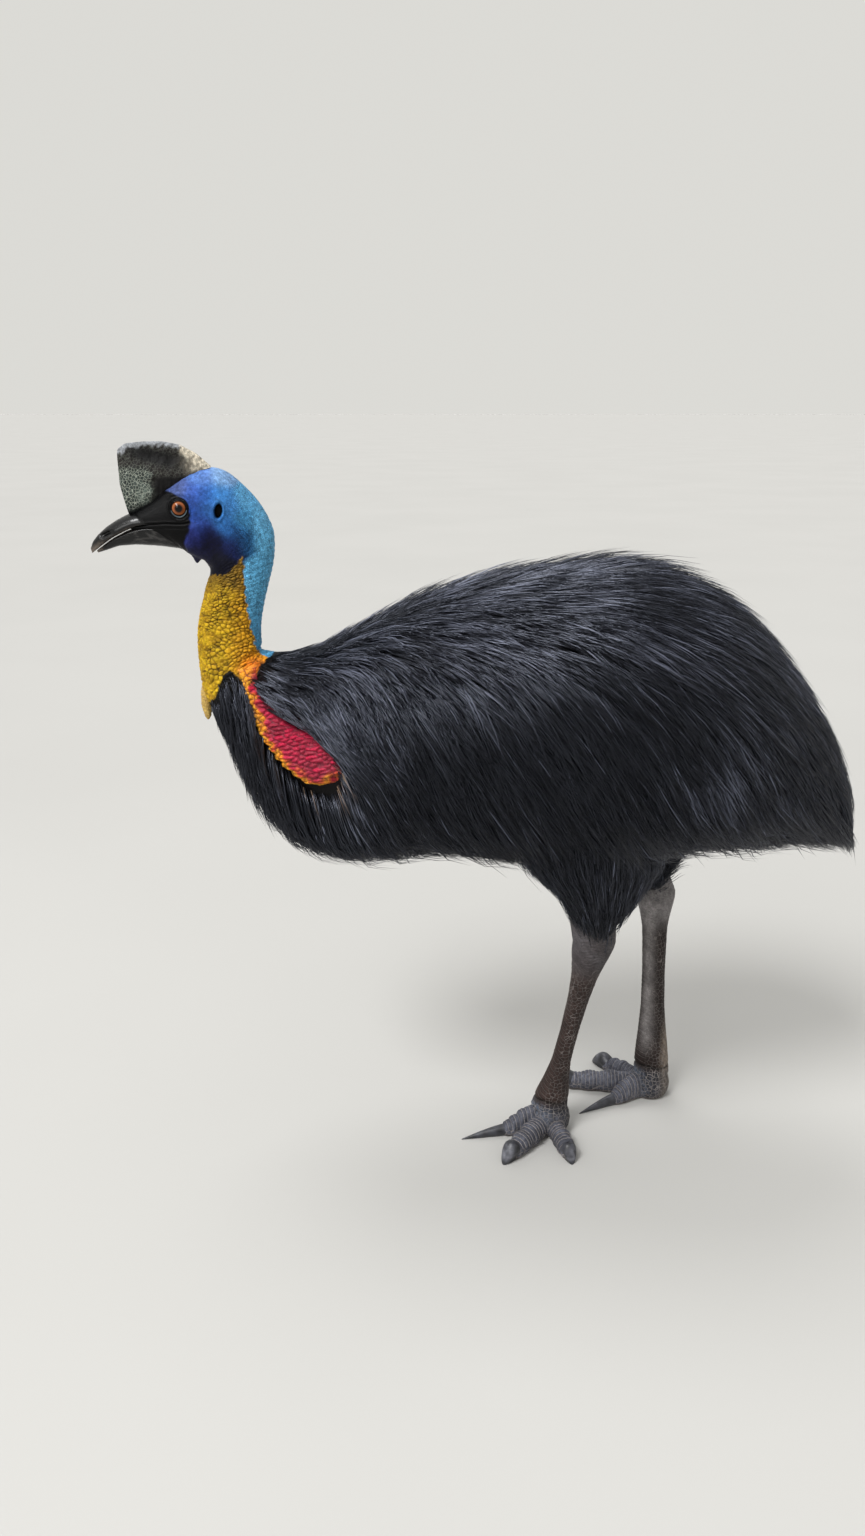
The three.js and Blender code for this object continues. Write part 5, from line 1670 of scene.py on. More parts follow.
@dataclass
class BodyPlumage:
    """The long hair-like coat of breast, back, flanks, belly and tail."""

    maker: CoatMaker
    strips: NeckStrips
    guides: int = 7900
    barbs: int = 7
    spread: float = 7.0
    hang_from: float = math.radians(112)
    seed: int = 20

    def roots(self, rng: np.random.Generator) -> tuple[Array, Array]:
        """Places and angles of the guides' roots, spread evenly over the feathered skin."""
        rows, columns = 90, 96
        place = np.linspace(NECK_END - 0.6, TAIL_END - 2.2, rows)
        angle = np.linspace(-np.pi, np.pi, columns)
        grid = np.stack([FORM.point(np.full(columns, p), angle, np.full(columns, 0.5)) for p in place])
        step = np.linalg.norm(np.diff(grid, axis=1), axis=2)
        around = np.concatenate([np.zeros((rows, 1)), np.cumsum(step, axis=1)], axis=1)
        forward = distance_along(grid.mean(axis=1))
        dense = 1.0 + 1.2 * (1 - ramp(place, NECK_END + 3, NECK_END + 7))
        girth = 0.5 * (around[1:, -1] + around[:-1, -1])
        area = np.concatenate([[0], np.cumsum(girth * np.diff(forward) * dense[1:])])
        u, v = spread_evenly(self.guides)
        along = np.interp(u * area[-1], area, place)
        row = np.clip(np.searchsorted(place, along), 1, rows - 1)
        target = v * around[row, -1]
        found = np.array([np.interp(t, around[r], angle) for t, r in zip(target, row)])
        along = along + rng.normal(0, 0.05, len(along))
        return along, found + rng.normal(0, 0.02, len(found))

    def bare(self, place: Array, angle: Array) -> Array:
        """Whether skin is bare at a root: above the coat's line, or on a strip."""
        points = FORM.point(place, angle, 0.0)
        seen = FORM.side_view(points, FORM.values(place)[:, 6])
        line = np.interp(seen[:, 0], *zip(*COAT_LINE))
        above = (seen[:, 1] > line - 2) & (seen[:, 0] < -316)
        return above | (place < NECK_END - 0.9) | self.strips.covers(seen, -7.0)

    def lay(self, place: Array, angle: Array) -> Array:
        """Directions in which feathers lie: back, ever more down round the flank, outwards on the back."""
        side = np.degrees(np.abs(angle))
        down = place - NECK_END
        flank = ramp(side, 6, 95)
        breast = 1 - ramp(down, 3, 8)
        tail = ramp(place, TAIL_START - 2, TAIL_END - 4)
        lean = mix(4 + 60 * flank + 10 * breast * flank, 8 + 42 * flank, tail)
        seen = FORM.side_view(FORM.point(place, angle, 0.5), 0.0)
        past = self.strips.behind(seen)
        beside = ramp(past, -6, 12) * (1 - ramp(past, 50, 170)) * ramp(seen[:, 1], 590, 640)
        lean = mix(lean, 36, beside * ramp(side, 20, 45))
        lean = np.radians(lean)
        outward = 0.22 * np.sign(angle) * (1 - ramp(side, 10, 70))
        return unit(np.stack([np.cos(lean), outward, -np.sin(lean)], axis=1))

    def lengths(self, rng: np.random.Generator, place: Array, angle: Array) -> Array:
        """Length of each guide in millimetres."""
        down = place - NECK_END
        side = np.degrees(np.abs(angle))
        length = 30 + 98 * ramp(down, -0.3, 5) + 24 * ramp(down, 5, 9)
        length *= 1 + 0.45 * bump(down, 8.5, 1.6) * ramp(side, 50, 75) * (1 - ramp(side, 115, 135))
        return length * rng.uniform(0.82, 1.16, len(place))

    def paths(self, rng: np.random.Generator, place: Array, angle: Array) -> tuple[Array, Array]:
        """Guide paths from the skin to the tips of the coat.

        Args:
            rng: Seeded random numbers.
            place: Places of the roots.
            angle: Angles of the roots.

        Returns:
            Paths as guides, levels, xyz, and the outward facing at each point.
        """
        levels = self.maker.levels
        count = len(place)
        step = self.lengths(rng, place, angle) / (levels - 1)
        bend = rng.normal(0, 0.1, (count, 1))
        back = (1 - ramp(np.abs(angle), math.radians(25), math.radians(60))) * ramp(
            place, NECK_END + 1.5, NECK_END + 3
        )
        back *= 1 - ramp(place, NECK_END + 8, NECK_END + 10)
        rump = ramp(place, NECK_END + 9, NECK_END + 11) * (1 - ramp(np.abs(angle), 0.8, 1.4))
        tip = rng.uniform(0.88, 1.03, count) + 0.45 * back - 0.3 * rump
        along, around = place.copy(), angle.copy()
        seen = FORM.side_view(FORM.point(place, angle, 0.2), 0.0)
        behind = (self.strips.behind(seen) > 0) & (seen[:, 1] > 612)
        low = np.where(behind & self.strips.covers(seen, 14.0), 0.6, -0.12)
        position = FORM.point(along, around, low)
        path, facing = [], []
        limit = TAIL_END - 0.12
        for level in range(levels):
            share = level / (levels - 1)
            height = mix(low, tip, 1 - (1 - share) ** 2)
            here = FORM.point(along, around, height)
            forward = (FORM.point(along + 0.04, around, height) - here) / 0.04
            sideways = (FORM.point(along, around + 0.02, height) - here) / 0.02
            out = unit(np.cross(sideways, forward))
            out *= np.sign(np.sum(out * (here - FORM.point(along, around, height - 0.5)), axis=1))[:, None]
            path.append(position)
            facing.append(out)
            lay = self.lay(along, around)
            lay = unit(lay + bend * unit(np.cross(out, lay)))
            pairs = ((forward, forward), (forward, sideways), (sideways, sideways))
            ff, fs, ss = (np.sum(a * b, axis=1) for a, b in pairs)
            fd, sd = np.sum(forward * lay, axis=1), np.sum(sideways * lay, axis=1)
            area = np.maximum(ff * ss - fs * fs, 1e-9)
            ahead, turn = (ss * fd - fs * sd) / area, (ff * sd - fs * fd) / area
            moved = np.linalg.norm(forward * ahead[:, None] + sideways * turn[:, None], axis=1)
            grow = step / np.maximum(moved, 0.25)
            next_along = along + np.minimum(ahead * grow, (limit - along) / 2)
            next_around = np.clip(around + turn * grow, -3.08, 3.08)
            next_height = mix(low, tip, 1 - (1 - min(1, share + 1 / (levels - 1))) ** 2)
            target = FORM.point(next_along, next_around, next_height)
            hanging = ramp(np.abs(around), self.hang_from - 0.35, self.hang_from) * (np.abs(around) < 2.5)
            free = position + step[:, None] * np.array([0.6, 0.0, -0.8])
            weight = (hanging * ramp(share, 0.3, 0.8) * 0.6)[:, None]
            position = mix(target, free, weight)
            along, around = next_along, next_around
        return np.stack(path, axis=1), np.stack(facing, axis=1)

    def trimmed(self, rng: np.random.Generator, path: Array) -> Array:
        """Paths lifted above the ragged hem that the camera sees, and drawn in at the tail's tip."""
        count, levels, _ = path.shape
        flat = path.reshape(-1, 3).copy()
        seen = FORM.side_view(flat, 0.0)
        ragged = 12 * (noise_at(path[:, -1], 26, 77) - 0.5) + 7 - rng.exponential(11, count)
        hem = np.interp(seen[:, 0], *zip(*HEM)) + np.repeat(ragged, levels)
        lack = np.maximum(hem - seen[:, 1], 0) * (seen[:, 0] > HEM[0][0])
        flat[:, 2] += 0.9 * lack * (CAMERA[1] + np.abs(flat[:, 1])) / CAMERA[1]
        flat[:, 0] -= 0.6 * np.maximum(flat[:, 0] - 560, 0)
        return flat.reshape(path.shape)

    def build(self) -> None:
        """Grows and writes the body's coat."""
        rng = np.random.default_rng(self.seed)
        place, angle = self.roots(rng)
        keep = ~self.bare(place, angle)
        place, angle = place[keep], angle[keep]
        path, out = self.paths(rng, place, angle)
        crossing = np.zeros(len(path), bool)
        for level in range(1, self.maker.levels):
            crossing |= self.strips.covers(FORM.side_view(path[:, level], 0.0), -8.0) & (place < NECK_END + 6)
        keep = ~crossing
        order = np.argsort(place[keep])
        place, angle, path, out = (values[keep][order] for values in (place, angle, path, out))
        near = ramp(place, NECK_END, NECK_END + 4)
        barbs, faces = self.maker.strands(rng, path, out, self.spread * (0.4 + 0.6 * near), self.barbs)
        barbs = self.trimmed(rng, barbs)
        width = rng.uniform(1.3, 2.3, len(barbs)) * np.repeat(0.65 + 0.35 * near, self.barbs)
        down, side = place - NECK_END, np.abs(angle)
        # Painted glint: most barbs are painted grey-blue on the back and the front of the shoulders, which
        # face the light, and some in locks over the rear flank.
        glinting = 0.03 + 0.75 * (1 - ramp(side, 0.5, 1.05))
        glinting += 0.8 * (1 - ramp(down, 3.5, 7)) * bump(side, 1.15, 0.45)
        glinting *= 1.6 * noise_at(path[:, -1], 60, 78)
        locks = ramp(noise_at(path[:, -1] * [1.0, 1.0, 0.35], 34, 79), 0.4, 0.6)
        seen = FORM.side_view(path[:, path.shape[1] // 2], 0.0)
        glinting += 1.2 * bump(seen[:, 0], 365, 75) * bump(seen[:, 1], 640, 75) * locks
        tone = self.maker.tones(rng, glinting, self.barbs)
        seen = FORM.side_view(barbs[:, 1], 0.0)
        bleached = 0.7 * np.exp(-(((seen[:, 0] + 244) / 32) ** 2) - ((seen[:, 1] - 580) / 22) ** 2)
        tone = np.where((rng.random(len(barbs)) < bleached)[:, None], [0.93, 0.3], tone)
        root = np.stack(
            [
                np.repeat(place, self.barbs) / TAIL_END * 0.99,
                np.repeat(angle, self.barbs) / (2 * np.pi) * 0.99 + 0.5,
            ],
            axis=1,
        )
        coat = Barbs(barbs, faces, root, tone, width)
        self.maker.write("plumage_body", coat, ("wing_left", "wing_right"))


# Legs


@dataclass(frozen=True)
class Toe:
    """A toe: its heading in degrees from forward, lengths of flesh and nail, half width, and its nail."""

    name: str
    angle: float
    reach: float
    claw: float
    width: float
    blunt: bool = True

    def direction(self) -> Array:
        """Heading on the floor."""
        turn = math.radians(self.angle)
        return np.array([-math.cos(turn), -math.sin(turn), 0.0])

    def across(self) -> Array:
        """Level direction square to the heading."""
        ahead = self.direction()
        return np.array([-ahead[1], ahead[0], 0.0])


@dataclass(frozen=True)
class LegForm:
    """Joints, thickness, toes and lower edge of the feathers of one leg.

    A row of the shank is its share of the way down, and its half sizes along X and across Y.
    """

    side: Side
    hip: tuple[float, float, float]
    ankle: tuple[float, float, float]
    foot: tuple[float, float, float]
    toe_root: float
    toes: tuple[Toe, ...]
    shank: tuple[tuple[float, float, float], ...]
    fringe: tuple[tuple[float, float], ...]

    @property
    def stand(self) -> Array:
        """Place on the floor under the foot's middle."""
        return np.array([self.foot[0], self.foot[1], 0.0])


LEGS = (
    LegForm(
        Side.LEFT, (138, -104, 590), (162, -84, 372), (110, -36, 58), 44,
        (
            Toe("inner", 12, 78, 74, 15, False), Toe("middle", 49, 104, 24, 17),
            Toe("outer", 106, 83, 17, 15),
        ),
        (
            (-0.3, 40, 34), (-0.12, 35, 31), (0, 32.5, 29), (0.05, 31, 28), (0.11, 26.5, 24.5),
            (0.2, 21, 19.5), (0.34, 17, 16), (0.54, 14.6, 14), (0.74, 15.4, 14.6), (0.86, 21, 18.5),
            (0.95, 27, 24), (1.04, 30, 27),
        ),
        (
            (6, 520), (41, 512), (80, 484), (106, 470), (113, 452), (118, 436), (127, 425), (142, 411),
            (160, 404), (176, 408), (189, 416), (208, 436), (227, 466), (240, 490), (267, 517),
        ),
    ),
    LegForm(
        Side.RIGHT, (200, 104, 590), (288, 84, 382), (297, 67, 58), 54,
        (
            Toe("inner", 26, 76, 71, 15, False), Toe("middle", -7, 142, 26, 17),
            Toe("outer", -48, 98, 32, 15),
        ),
        (
            (-0.3, 34, 31), (-0.12, 34, 29), (0, 33, 28), (0.05, 31, 26), (0.12, 25, 23), (0.2, 21, 19.5),
            (0.45, 19, 18), (0.65, 20, 18), (0.8, 24, 21), (0.9, 27.5, 23), (1.0, 30, 25), (1.04, 30, 27),
        ),
        ((190, 470), (225, 430), (250, 396), (262, 392), (272, 400), (286, 416),
         (300, 436), (314, 452), (330, 470)),
    ),
)
THIGH = (
    (0.0, 118, 64), (0.36, 110, 59), (0.54, 82, 52), (0.67, 63, 46), (0.76, 51, 41), (0.86, 42, 37),
    (1.0, 32, 30),
)


@dataclass
class Leg:
    """One leg: scaled shank, foot and toes in one skin, a feathered thigh over it, and three claws."""

    form: LegForm
    maker: CoatMaker
    skin: Material
    claw: Material
    voxel: float = 1.5
    coat_depth: float = 18.0
    guides: int = 900
    barbs: int = 7
    brown: str = "#3c2e2a"
    umber: str = "#261e1c"
    grey: str = "#5a575a"
    # The pale grey of the right ankle's powder, and of a painted highlight streak down its shank.
    powder_and_highlight: str = "#b9b4b4"
    heel: str = "#bfae9c"
    slate: str = "#575963"
    night: str = "#2c2d34"
    web: str = "#7e8ba0"
    sole: str = "#7a6e66"

    def build(self) -> None:
        """Builds the whole leg."""
        self.limb()
        for toe in self.form.toes:
            self.build_claw(toe)
        self.plumage()

    def tube(self, name: str, centres: Array, wide: Array, deep: Array, sides: int = 40) -> Piece:
        """A closed tube of level oval rings.

        Args:
            name: Name of the tube.
            centres: Middle of each ring.
            wide: Half size of each ring along X.
            deep: Half size of each ring along Y.
            sides: Number of points to a ring.

        Returns:
            The new object.
        """
        angle = np.arange(sides) / sides * 2 * np.pi
        ring = np.stack([np.cos(angle), np.sin(angle), 0 * angle], axis=1)
        sizes = np.stack([wide, deep, 0 * wide], axis=1)
        return loft(name, (centres[:, None] + ring[None] * sizes[:, None]) * MM)

    def toe_rings(self, toe: Toe, distance: Array, width: Array, height: Array, sides: int) -> Array:
        """Rings across a toe: flat on the floor below and round above."""
        angle = (np.arange(sides) + 0.5) / sides * 2 * np.pi
        middle = self.form.stand + distance[:, None] * toe.direction()
        ring = middle[:, None] + (np.sin(angle)[None, :] * width[:, None])[..., None] * toe.across()
        ring[..., 2] = np.maximum(height[:, None] * (0.44 - 0.56 * np.cos(angle))[None, :], 0.0)
        return ring

    def limb(self) -> None:
        """Builds the skin of shank, foot and toes."""
        form = self.form
        ankle, foot = np.array(form.ankle, float), np.array(form.foot, float)
        rows = np.array(form.shank, float)
        share = np.linspace(rows[0, 0], rows[-1, 0], 60)
        wide, deep = (smoothed(np.interp(share, rows[:, 0], rows[:, k]), 1) for k in (1, 2))
        thigh = np.array(form.hip) - ankle
        line = ankle + (foot - ankle) * np.maximum(share, 0)[:, None]
        line = line + thigh * np.maximum(-share * 1.4, 0)[:, None]
        parts = [self.tube("shank", line, wide, deep)]
        parts.append(self.pad())
        for toe in form.toes:
            distance = np.linspace(2, toe.reach + 3, 60)
            step = np.clip((distance - form.toe_root) / (toe.reach - form.toe_root), 0, 1)
            joints = np.cos(step * np.pi * 5)
            width = toe.width * (1.0 - 0.12 * step - 0.07 * joints)
            height = toe.width * 2 * (1.1 - 0.28 * step - 0.05 * joints)
            height = height + (0 if toe.blunt else 16) * (1 - ramp(distance, 30, 74))
            tip = np.sqrt(1 - np.clip((distance - toe.reach + 11) / 14.5, 0, 0.99) ** 2)
            toe_width, toe_height = width * (0.35 + 0.65 * tip), height * (0.45 + 0.55 * tip)
            ring = self.toe_rings(toe, distance, toe_width, toe_height, 32)
            parts.append(loft(f"toe_{toe.name}", ring * MM))
        limb = self.joined(parts, f"leg_{form.side.label}_skin")
        apply_modifier(limb, "REMESH", mode="VOXEL", voxel_size=self.voxel * MM, use_smooth_shade=True)
        apply_modifier(limb, "SMOOTH", factor=0.5, iterations=4)
        self.scales(limb)
        side = form.side.label
        nodes = [f"shank_{side}", f"foot_{side}"] + [f"toe_{side}_{toe.name}" for toe in form.toes]
        finish_piece(limb, self.skin, tuple(nodes))

    def pad(self) -> Piece:
        """The foot's pad under the shank."""
        deselect_all()
        bpy.ops.mesh.primitive_uv_sphere_add(segments=40, ring_count=28, radius=MM)
        pad = bpy.context.object
        places = places_of(pad) * [33, 32, 36] + [self.form.foot[0], self.form.foot[1], 24]
        places[:, 2] = np.maximum(places[:, 2], 0)
        set_places(pad, places)
        return pad

    def joined(self, parts: list[Piece], name: str) -> Piece:
        """Joins parts into one object.

        Args:
            parts: The objects.
            name: Name of the joined one.

        Returns:
            The joined object.
        """
        deselect_all()
        for part in parts:
            part.select_set(True)
        bpy.context.view_layer.objects.active = parts[0]
        bpy.ops.object.join()
        limb = bpy.context.object
        limb.name = name
        limb.data.name = name
        return limb

    def scales(self, limb: Piece) -> None:
        """Raises the scales and folds, and tells the material where each kind of seam runs.

        Args:
            limb: The leg's skin.
        """
        places = places_of(limb)
        facing = normals_of(limb)
        ankle, foot = np.array(self.form.ankle, float), np.array(self.form.foot, float)
        axis = foot - ankle
        share = (places - ankle) @ axis / (axis @ axis)
        around = places - (ankle + np.clip(share, -1, 1.05)[:, None] * axis)
        angle = np.arctan2(around[:, 1], -around[:, 0])
        run = share * np.linalg.norm(axis)
        rough = noise_at(places, 9, 90)
        folded = 1 - ramp(share, 0.1, 0.24)
        fold_run = run + 3.5 * np.sin(angle * 3 + 0.06 * run) + 5 * (rough - 0.5)
        front = (1 - ramp(np.abs(angle), 0.8, 1.15)) * ramp(share, 0.3, 0.5)
        plate_run = run + 2.5 * np.cos(angle * 2)
        raised = 0.4 + 0.4 * noise_at(places, 6, 93)
        owner = noise_at(places, 8, 96)
        fold_line = np.abs(np.mod(fold_run / 5.2, 1) - 0.5) * 2
        plate_line = np.abs(np.mod(plate_run / 8.2, 1) - 0.5) * 2
        height = mix(raised, ramp(1 - plate_line, 0.05, 0.35), front)
        height = mix(height, ramp(1 - fold_line, 0.0, 0.7), folded)
        scute_run = mix(plate_run * 6.4 / 8.2, fold_run * 6.4 / 5.2, folded)
        scute = np.maximum(front, folded * 0.9)
        network = (1 - scute) * (1 - folded)
        low = 1 - ramp(places[:, 2], 50, 66)
        toe_share = np.zeros(len(places))
        toe_run = np.zeros(len(places))
        toe_top = np.zeros(len(places))
        near = np.full(len(places), 1e9)
        for toe in self.form.toes:
            offset = places - self.form.stand
            distance = offset @ toe.direction()
            sideways = offset @ toe.across()
            away = np.abs(sideways) + np.maximum(24 - distance, 0) * 2
            mine = (away < near) & (places[:, 2] < 48)
            near = np.where(mine, away, near)
            top = ramp(places[:, 2] / (toe.width * 2), 0.4, 0.6)
            toe_top = np.where(mine, top, toe_top)
            toe_run = np.where(mine, distance + 0.1 * np.abs(sideways), toe_run)
            toe_share = np.where(mine, ramp(distance, 22, 36), toe_share)
        plates = low * toe_share * toe_top
        line = 1 - np.abs(np.mod(toe_run / 6.4, 1) - 0.5) * 2
        foot_height = mix(0.3 + 0.5 * noise_at(places, 7, 97), ramp(line, 0.04, 0.4), plates)
        height = mix(height, foot_height, low)
        groove = bump(places[:, 2] + 3 * np.sin(angle * 2), 63, 2.6) * ramp(share, 0.8, 0.9)
        lift = np.where(places[:, 2] < 1.2, 0, ramp(places[:, 2], 1.2, 5))
        shift = (mix(1.0, 1.7, low) * (height - 0.5) - 2.6 * groove) * lift
        set_places(limb, places + facing * shift[:, None])
        set_number(limb, "run", mix(scute_run, toe_run, low))
        set_number(limb, "scute", np.clip(mix(scute, plates, low), 0, 1))
        set_number(limb, "network", np.clip(mix(network, 1 - plates, low), 0, 1))
        self.colour(limb, share, angle, low, toe_share, owner, groove)

    def colour(
        self, limb: Piece, share: Array, angle: Array, low: Array, toe_share: Array, owner: Array,
        groove: Array,
    ) -> None:
        """Paints the leg: grey folded ankle, brown shank, violet-grey foot, seams of dust and painted
        highlight, painted shade in the groove above the foot and on the far shank, and a painted
        highlight streak down the far shank.

        Args:
            limb: The leg's skin.
            share: Share of the way from ankle to foot.
            angle: Angle round the shank, 0 in front.
            low: How far a point belongs to the foot.
            toe_share: How far it belongs to a toe.
            owner: A random number for each scale.
            groove: How deep it lies in the fold above the foot.
        """
        places = places_of(limb)
        blotch = noise_at(places, 26, 91)
        fine = noise_at(places, 5, 92)
        right = self.form.side is Side.RIGHT
        tint = mix(linear(self.umber), linear(self.brown), (0.25 + 0.5 * blotch + 0.35 * owner)[:, None])
        ankle = (1 - ramp(share, 0.06, 0.24)) * (0.55 + 0.45 * blotch)
        tint = over(tint, self.grey, ankle)
        paler = 0.35 + 0.65 * blotch * (0.6 + 0.8 * fine)
        foot = mix(linear(self.night), linear(self.slate), paler[:, None])
        tint = mix(tint, foot * mix(0.45, 1.35, toe_share)[:, None], (low * 0.92)[:, None])
        offset = places - self.form.stand
        inner, middle = (toe.direction() for toe in self.form.toes[:2])
        between = unit((inner + middle)[None])[0]
        web = np.exp(-(((offset @ between - 36) / 16) ** 2)) * (offset @ between > 0) * low * (1 - toe_share)
        tint = over(tint, self.web, 0.6 * web * (0.2 + 0.8 * fine))
        # Seams of dust, more on the foot, where they also stand for a painted highlight along the scutes.
        dust = 0.25 + 0.3 * blotch + 0.4 * low
        if right:
            # Painted shade: the far shank is painted darker than its ankle and foot.
            tint = tint * mix(0.6, 1.0, np.maximum(low, ankle))[:, None]
            # Painted highlight: a pale streak down the front of the far shank; the ankle's powder is its own
            # pale colour.
            streak = bump(angle, -0.9, 0.55) * ramp(share, 0.0, 0.15) * (1 - ramp(share, 0.75, 0.95))
            powder_and_highlight = np.clip(0.7 * streak * (0.5 + 0.5 * blotch) + 0.65 * ankle, 0, 0.85)
            tint = over(tint, self.powder_and_highlight, powder_and_highlight)
            heel = ramp(offset[:, 0], 4, 22) * ramp(share, 0.66, 0.86) * (1 - 0.5 * low)
            tint = over(tint, self.heel, 0.5 * heel * (0.6 + 0.5 * fine))
        # Painted shade: the groove above the foot is painted darker.
        tint = mix(tint, tint * 0.25, np.clip(groove, 0, 1)[:, None])
        under = 1 - ramp(places[:, 2], 2, 9)
        tint = over(tint, self.sole, 0.6 * under)
        set_tint(limb, 0.72 * tint * (0.8 + 0.4 * fine)[:, None])
        set_number(limb, "dust", np.clip(dust, 0, 0.9))

    def build_claw(self, toe: Toe) -> None:
        """Builds one claw: a long dagger on the inner toe, short blunt nails on the others.

        Args:
            toe: The toe that it ends.
        """
        side = self.form.side.label
        share = np.linspace(0, 1, 40)
        distance = toe.reach - 9 + (toe.claw + 9) * share
        slim, power, root = (0.62, 1.15, 0.9) if not toe.blunt else (0.78, 2.6, 0.6)
        width = toe.width * slim * (1 - share**power) ** root + 0.5
        ring = self.toe_rings(toe, distance, width, width * 2.0, 36)
        rise = (3.0 if not toe.blunt else 10.0) * np.sin(np.pi * share) * width / toe.width
        ring[..., 2] += np.where(ring[..., 2] > 0.5, rise[:, None], 0)
        obj = loft(f"claw_{side}_{toe.name}_horn", ring * MM)
        flat = places_of(obj)
        along = (flat - self.form.stand) @ toe.direction()
        # Wear, and a painted highlight: the top of each nail's tip is painted pale.
        worn = ramp(along, toe.reach + toe.claw * 0.2, toe.reach + toe.claw * 0.8) * noise_at(flat, 7, 95)
        worn = worn * (0.45 if not toe.blunt else 1.0) * ramp(flat[:, 2], 4, 12)
        tint = mix(linear("#1b1b1f"), linear("#3a3b42"), noise_at(flat, 9, 94)[:, None])
        tint = over(tint, "#85868f", 0.6 * worn)
        set_tint(obj, tint)
        finish_piece(obj, self.claw, (f"claw_{side}_{toe.name}",))

    def thigh_point(self, share: Array, angle: Array, level: Array) -> Array:
        """Places on the feathered thigh, by share of the way down, angle round it and coat level."""
        rows = np.array(THIGH)
        held = np.clip(share, 0, 1)
        along = np.interp(held, rows[:, 0], rows[:, 1]) - self.coat_depth * (1 - level)
        across = np.interp(held, rows[:, 0], rows[:, 2]) - self.coat_depth * (1 - level)
        hip, ankle = np.array(self.form.hip, float), np.array(self.form.ankle, float)
        middle = hip + (ankle - hip) * share[:, None]
        middle[:, 0] += 8 * bump(share, 0.65, 0.3)
        ring = np.stack([np.cos(angle) * along, np.sin(angle) * across, 0 * angle], axis=1)
        return middle + ring

    def plumage(self) -> None:
        """Grows the thigh's coat, which hangs in a ragged fringe over the ankle."""
        seed = 40 + self.form.side.value
        rng = np.random.default_rng(seed)
        u, v = spread_evenly(self.guides)
        share, angle = -0.15 + 1.05 * u, 2 * np.pi * v
        levels = self.maker.levels
        length = rng.uniform(80, 118, self.guides) * (1 - 0.35 * ramp(share, 0.55, 0.9))
        step = length / (levels - 1)
        span = np.linalg.norm(np.array(self.form.hip) - np.array(self.form.ankle))
        tip = rng.uniform(0.8, 1.12, self.guides)
        path, facing = [], []
        for level in range(levels):
            part = level / (levels - 1)
            down = share + step * level / span
            drift = angle + 0.25 * part * np.sign(np.sin(angle)) * np.cos(angle)
            height = mix(-0.4, tip, 1 - (1 - part) ** 2.2)
            spot = self.thigh_point(down, drift, height)
            spot[:, 0] += 12 * np.maximum(down - 1.0, 0)
            path.append(spot)
            outward = np.stack([np.cos(drift), np.sin(drift), np.full(len(drift), 0.15)], axis=1)
            facing.append(unit(outward))
        path, out = np.stack(path, axis=1), np.stack(facing, axis=1)
        barbs, faces = self.maker.strands(rng, path, out, np.full(self.guides, 6.5), self.barbs)
        edge = np.repeat(rng.normal(0, 5, self.guides), self.barbs) + 6 - rng.exponential(7, len(barbs))
        floor = np.interp(barbs[:, :, 0], *zip(*self.form.fringe)) + edge[:, None]
        barbs[:, :, 2] += 0.95 * np.maximum(floor - barbs[:, :, 2], 0)
        width = rng.uniform(1.3, 2.3, len(barbs))
        # Painted glint: some barbs are painted grey-blue, most at the top of the thigh.
        tone = self.maker.tones(rng, 0.12 * (1 - ramp(share, 0.2, 0.9)), self.barbs)
        root = np.stack(
            [
                (np.repeat(share, self.barbs) + 0.15) / 1.05 * 0.99,
                np.repeat(angle, self.barbs) / (2 * np.pi) * 0.99,
            ],
            axis=1,
        )
        side = self.form.side.label
        coat = Barbs(barbs, faces, root, tone, width)
        self.maker.write(f"plumage_thigh_{side}", coat, (f"thigh_{side}",))


# Studio


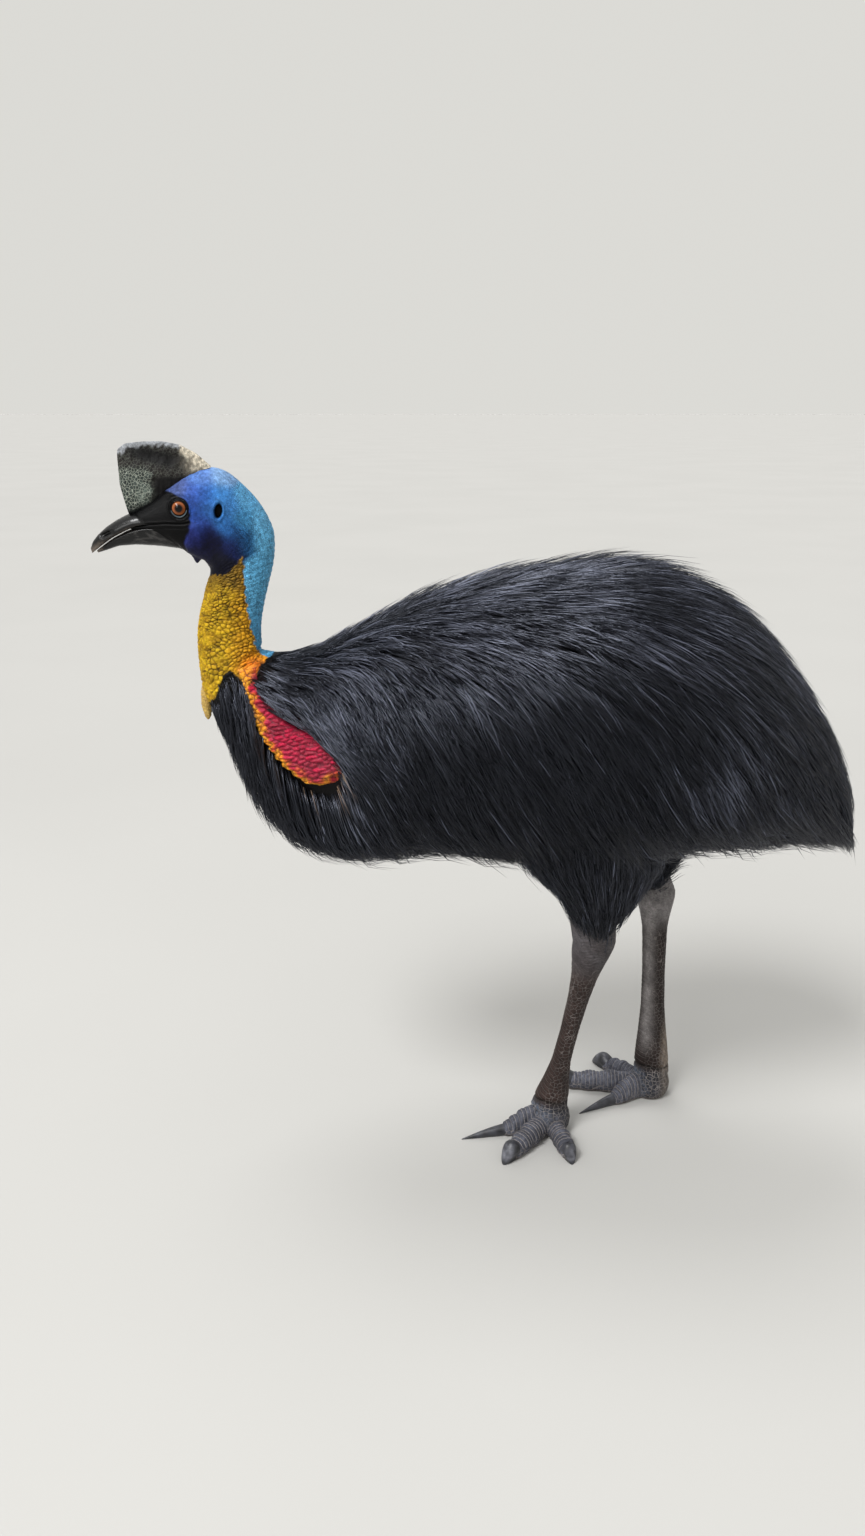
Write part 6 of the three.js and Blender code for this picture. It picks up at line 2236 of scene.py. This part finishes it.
@dataclass
class Studio:
    """Pale floor, soft lights and the camera at the photograph's viewing angle."""

    pitch: float = math.radians(-18)
    focal_pixels: float = 1110.0
    image_height: int = 1536
    sensor: float = 36.0
    floor_size: float = 400.0
    horizon: str = "#e6e5e0"
    dome: float = 0.9
    sun: float = 2.4

    def build(self) -> None:
        """Builds floor, lights, sky and camera."""
        self.floor()
        self.lights()
        self.sky()
        self.camera()

    def floor(self) -> None:
        """Lays the floor."""
        deselect_all()
        bpy.ops.mesh.primitive_plane_add(size=self.floor_size)
        floor = bpy.context.object
        floor.name = "studio_floor"
        floor.data.materials.append(StudioFloor("pale_studio_paper", roughness=1.0, specular=0.0).make())

    def lights(self) -> None:
        """Hangs a wide sun and a large soft lamp at the front left above, and a weaker sun behind."""
        target = Vector((0.0, 0.0, 0.6))
        for name, kind, place, power, size in (
            ("overcast_sun", "SUN", (-1.0, -1.1, 2.6), self.sun, math.radians(20)),
            ("cloud_behind", "SUN", (-0.4, 0.6, 2.6), 1.1, math.radians(25)),
            ("softbox", "AREA", (-1.5, -2.2, 2.3), 30.0, 1.5),
        ):
            data = bpy.data.lights.new(name, kind)
            data.energy = power
            if kind == "SUN":
                data.angle = size
            else:
                data.size = size
            lamp = bpy.data.objects.new(name, data)
            lamp.location = place
            lamp.rotation_euler = (target - Vector(place)).to_track_quat("-Z", "Y").to_euler()
            bpy.context.scene.collection.objects.link(lamp)

    def sky(self) -> None:
        """Spans a pale dome, brightest overhead, whose horizon is as light as the far floor."""
        world = bpy.data.worlds.new("studio")
        world.use_nodes = True
        tree = world.node_tree
        direction = add(tree, "TexCoord", out="Generated")
        height = add(tree, "SeparateXYZ", {0: direction}, out="Z")
        stops = [(0.3, self.horizon), (1.0, "#ffffff")]
        colour = add(tree, "ValToRGB", {"Fac": height}, stops=stops)
        background = tree.nodes["Background"]
        background.inputs["Strength"].default_value = self.dome
        tree.links.new(colour, background.inputs["Color"])
        bpy.context.scene.world = world
        bpy.context.scene.view_settings.view_transform = "Standard"

    def camera(self) -> None:
        """Places the camera."""
        data = bpy.data.cameras.new("camera")
        data.sensor_width = self.sensor
        data.sensor_fit = "AUTO"
        data.lens = self.focal_pixels / self.image_height * self.sensor
        camera = bpy.data.objects.new("camera", data)
        camera.location = Vector(CAMERA) * MM
        camera.rotation_euler = (math.pi / 2 + self.pitch, 0.0, 0.0)
        bpy.context.scene.collection.objects.link(camera)
        bpy.context.scene.camera = camera


def main() -> None:
    """Builds the bird and its studio."""
    logging.basicConfig(level=logging.INFO, format="%(message)s")
    Skin().build()
    Eyes().build()
    Casque().build()
    Bill().build()
    Wattle().build()
    strips = NeckStrips()
    strips.build()
    feather = Feather("black_hair_like_feather_barbs", roughness=0.3, specular=0.75, ior=1.55)
    maker = CoatMaker(feather.make())
    BodyPlumage(maker, strips).build()
    scales = ScaledSkin("dusty_scaled_leg_hide", roughness=0.6, specular=0.2).make()
    claws = Horn("worn_claw_keratin", roughness=0.42, streak_mm=1.5, stretch=(0.4, 0.4, 1.0)).make()
    for form in LEGS:
        Leg(form, maker, scales, claws).build()
    Studio().build()


if __name__ == "__main__":
    main()
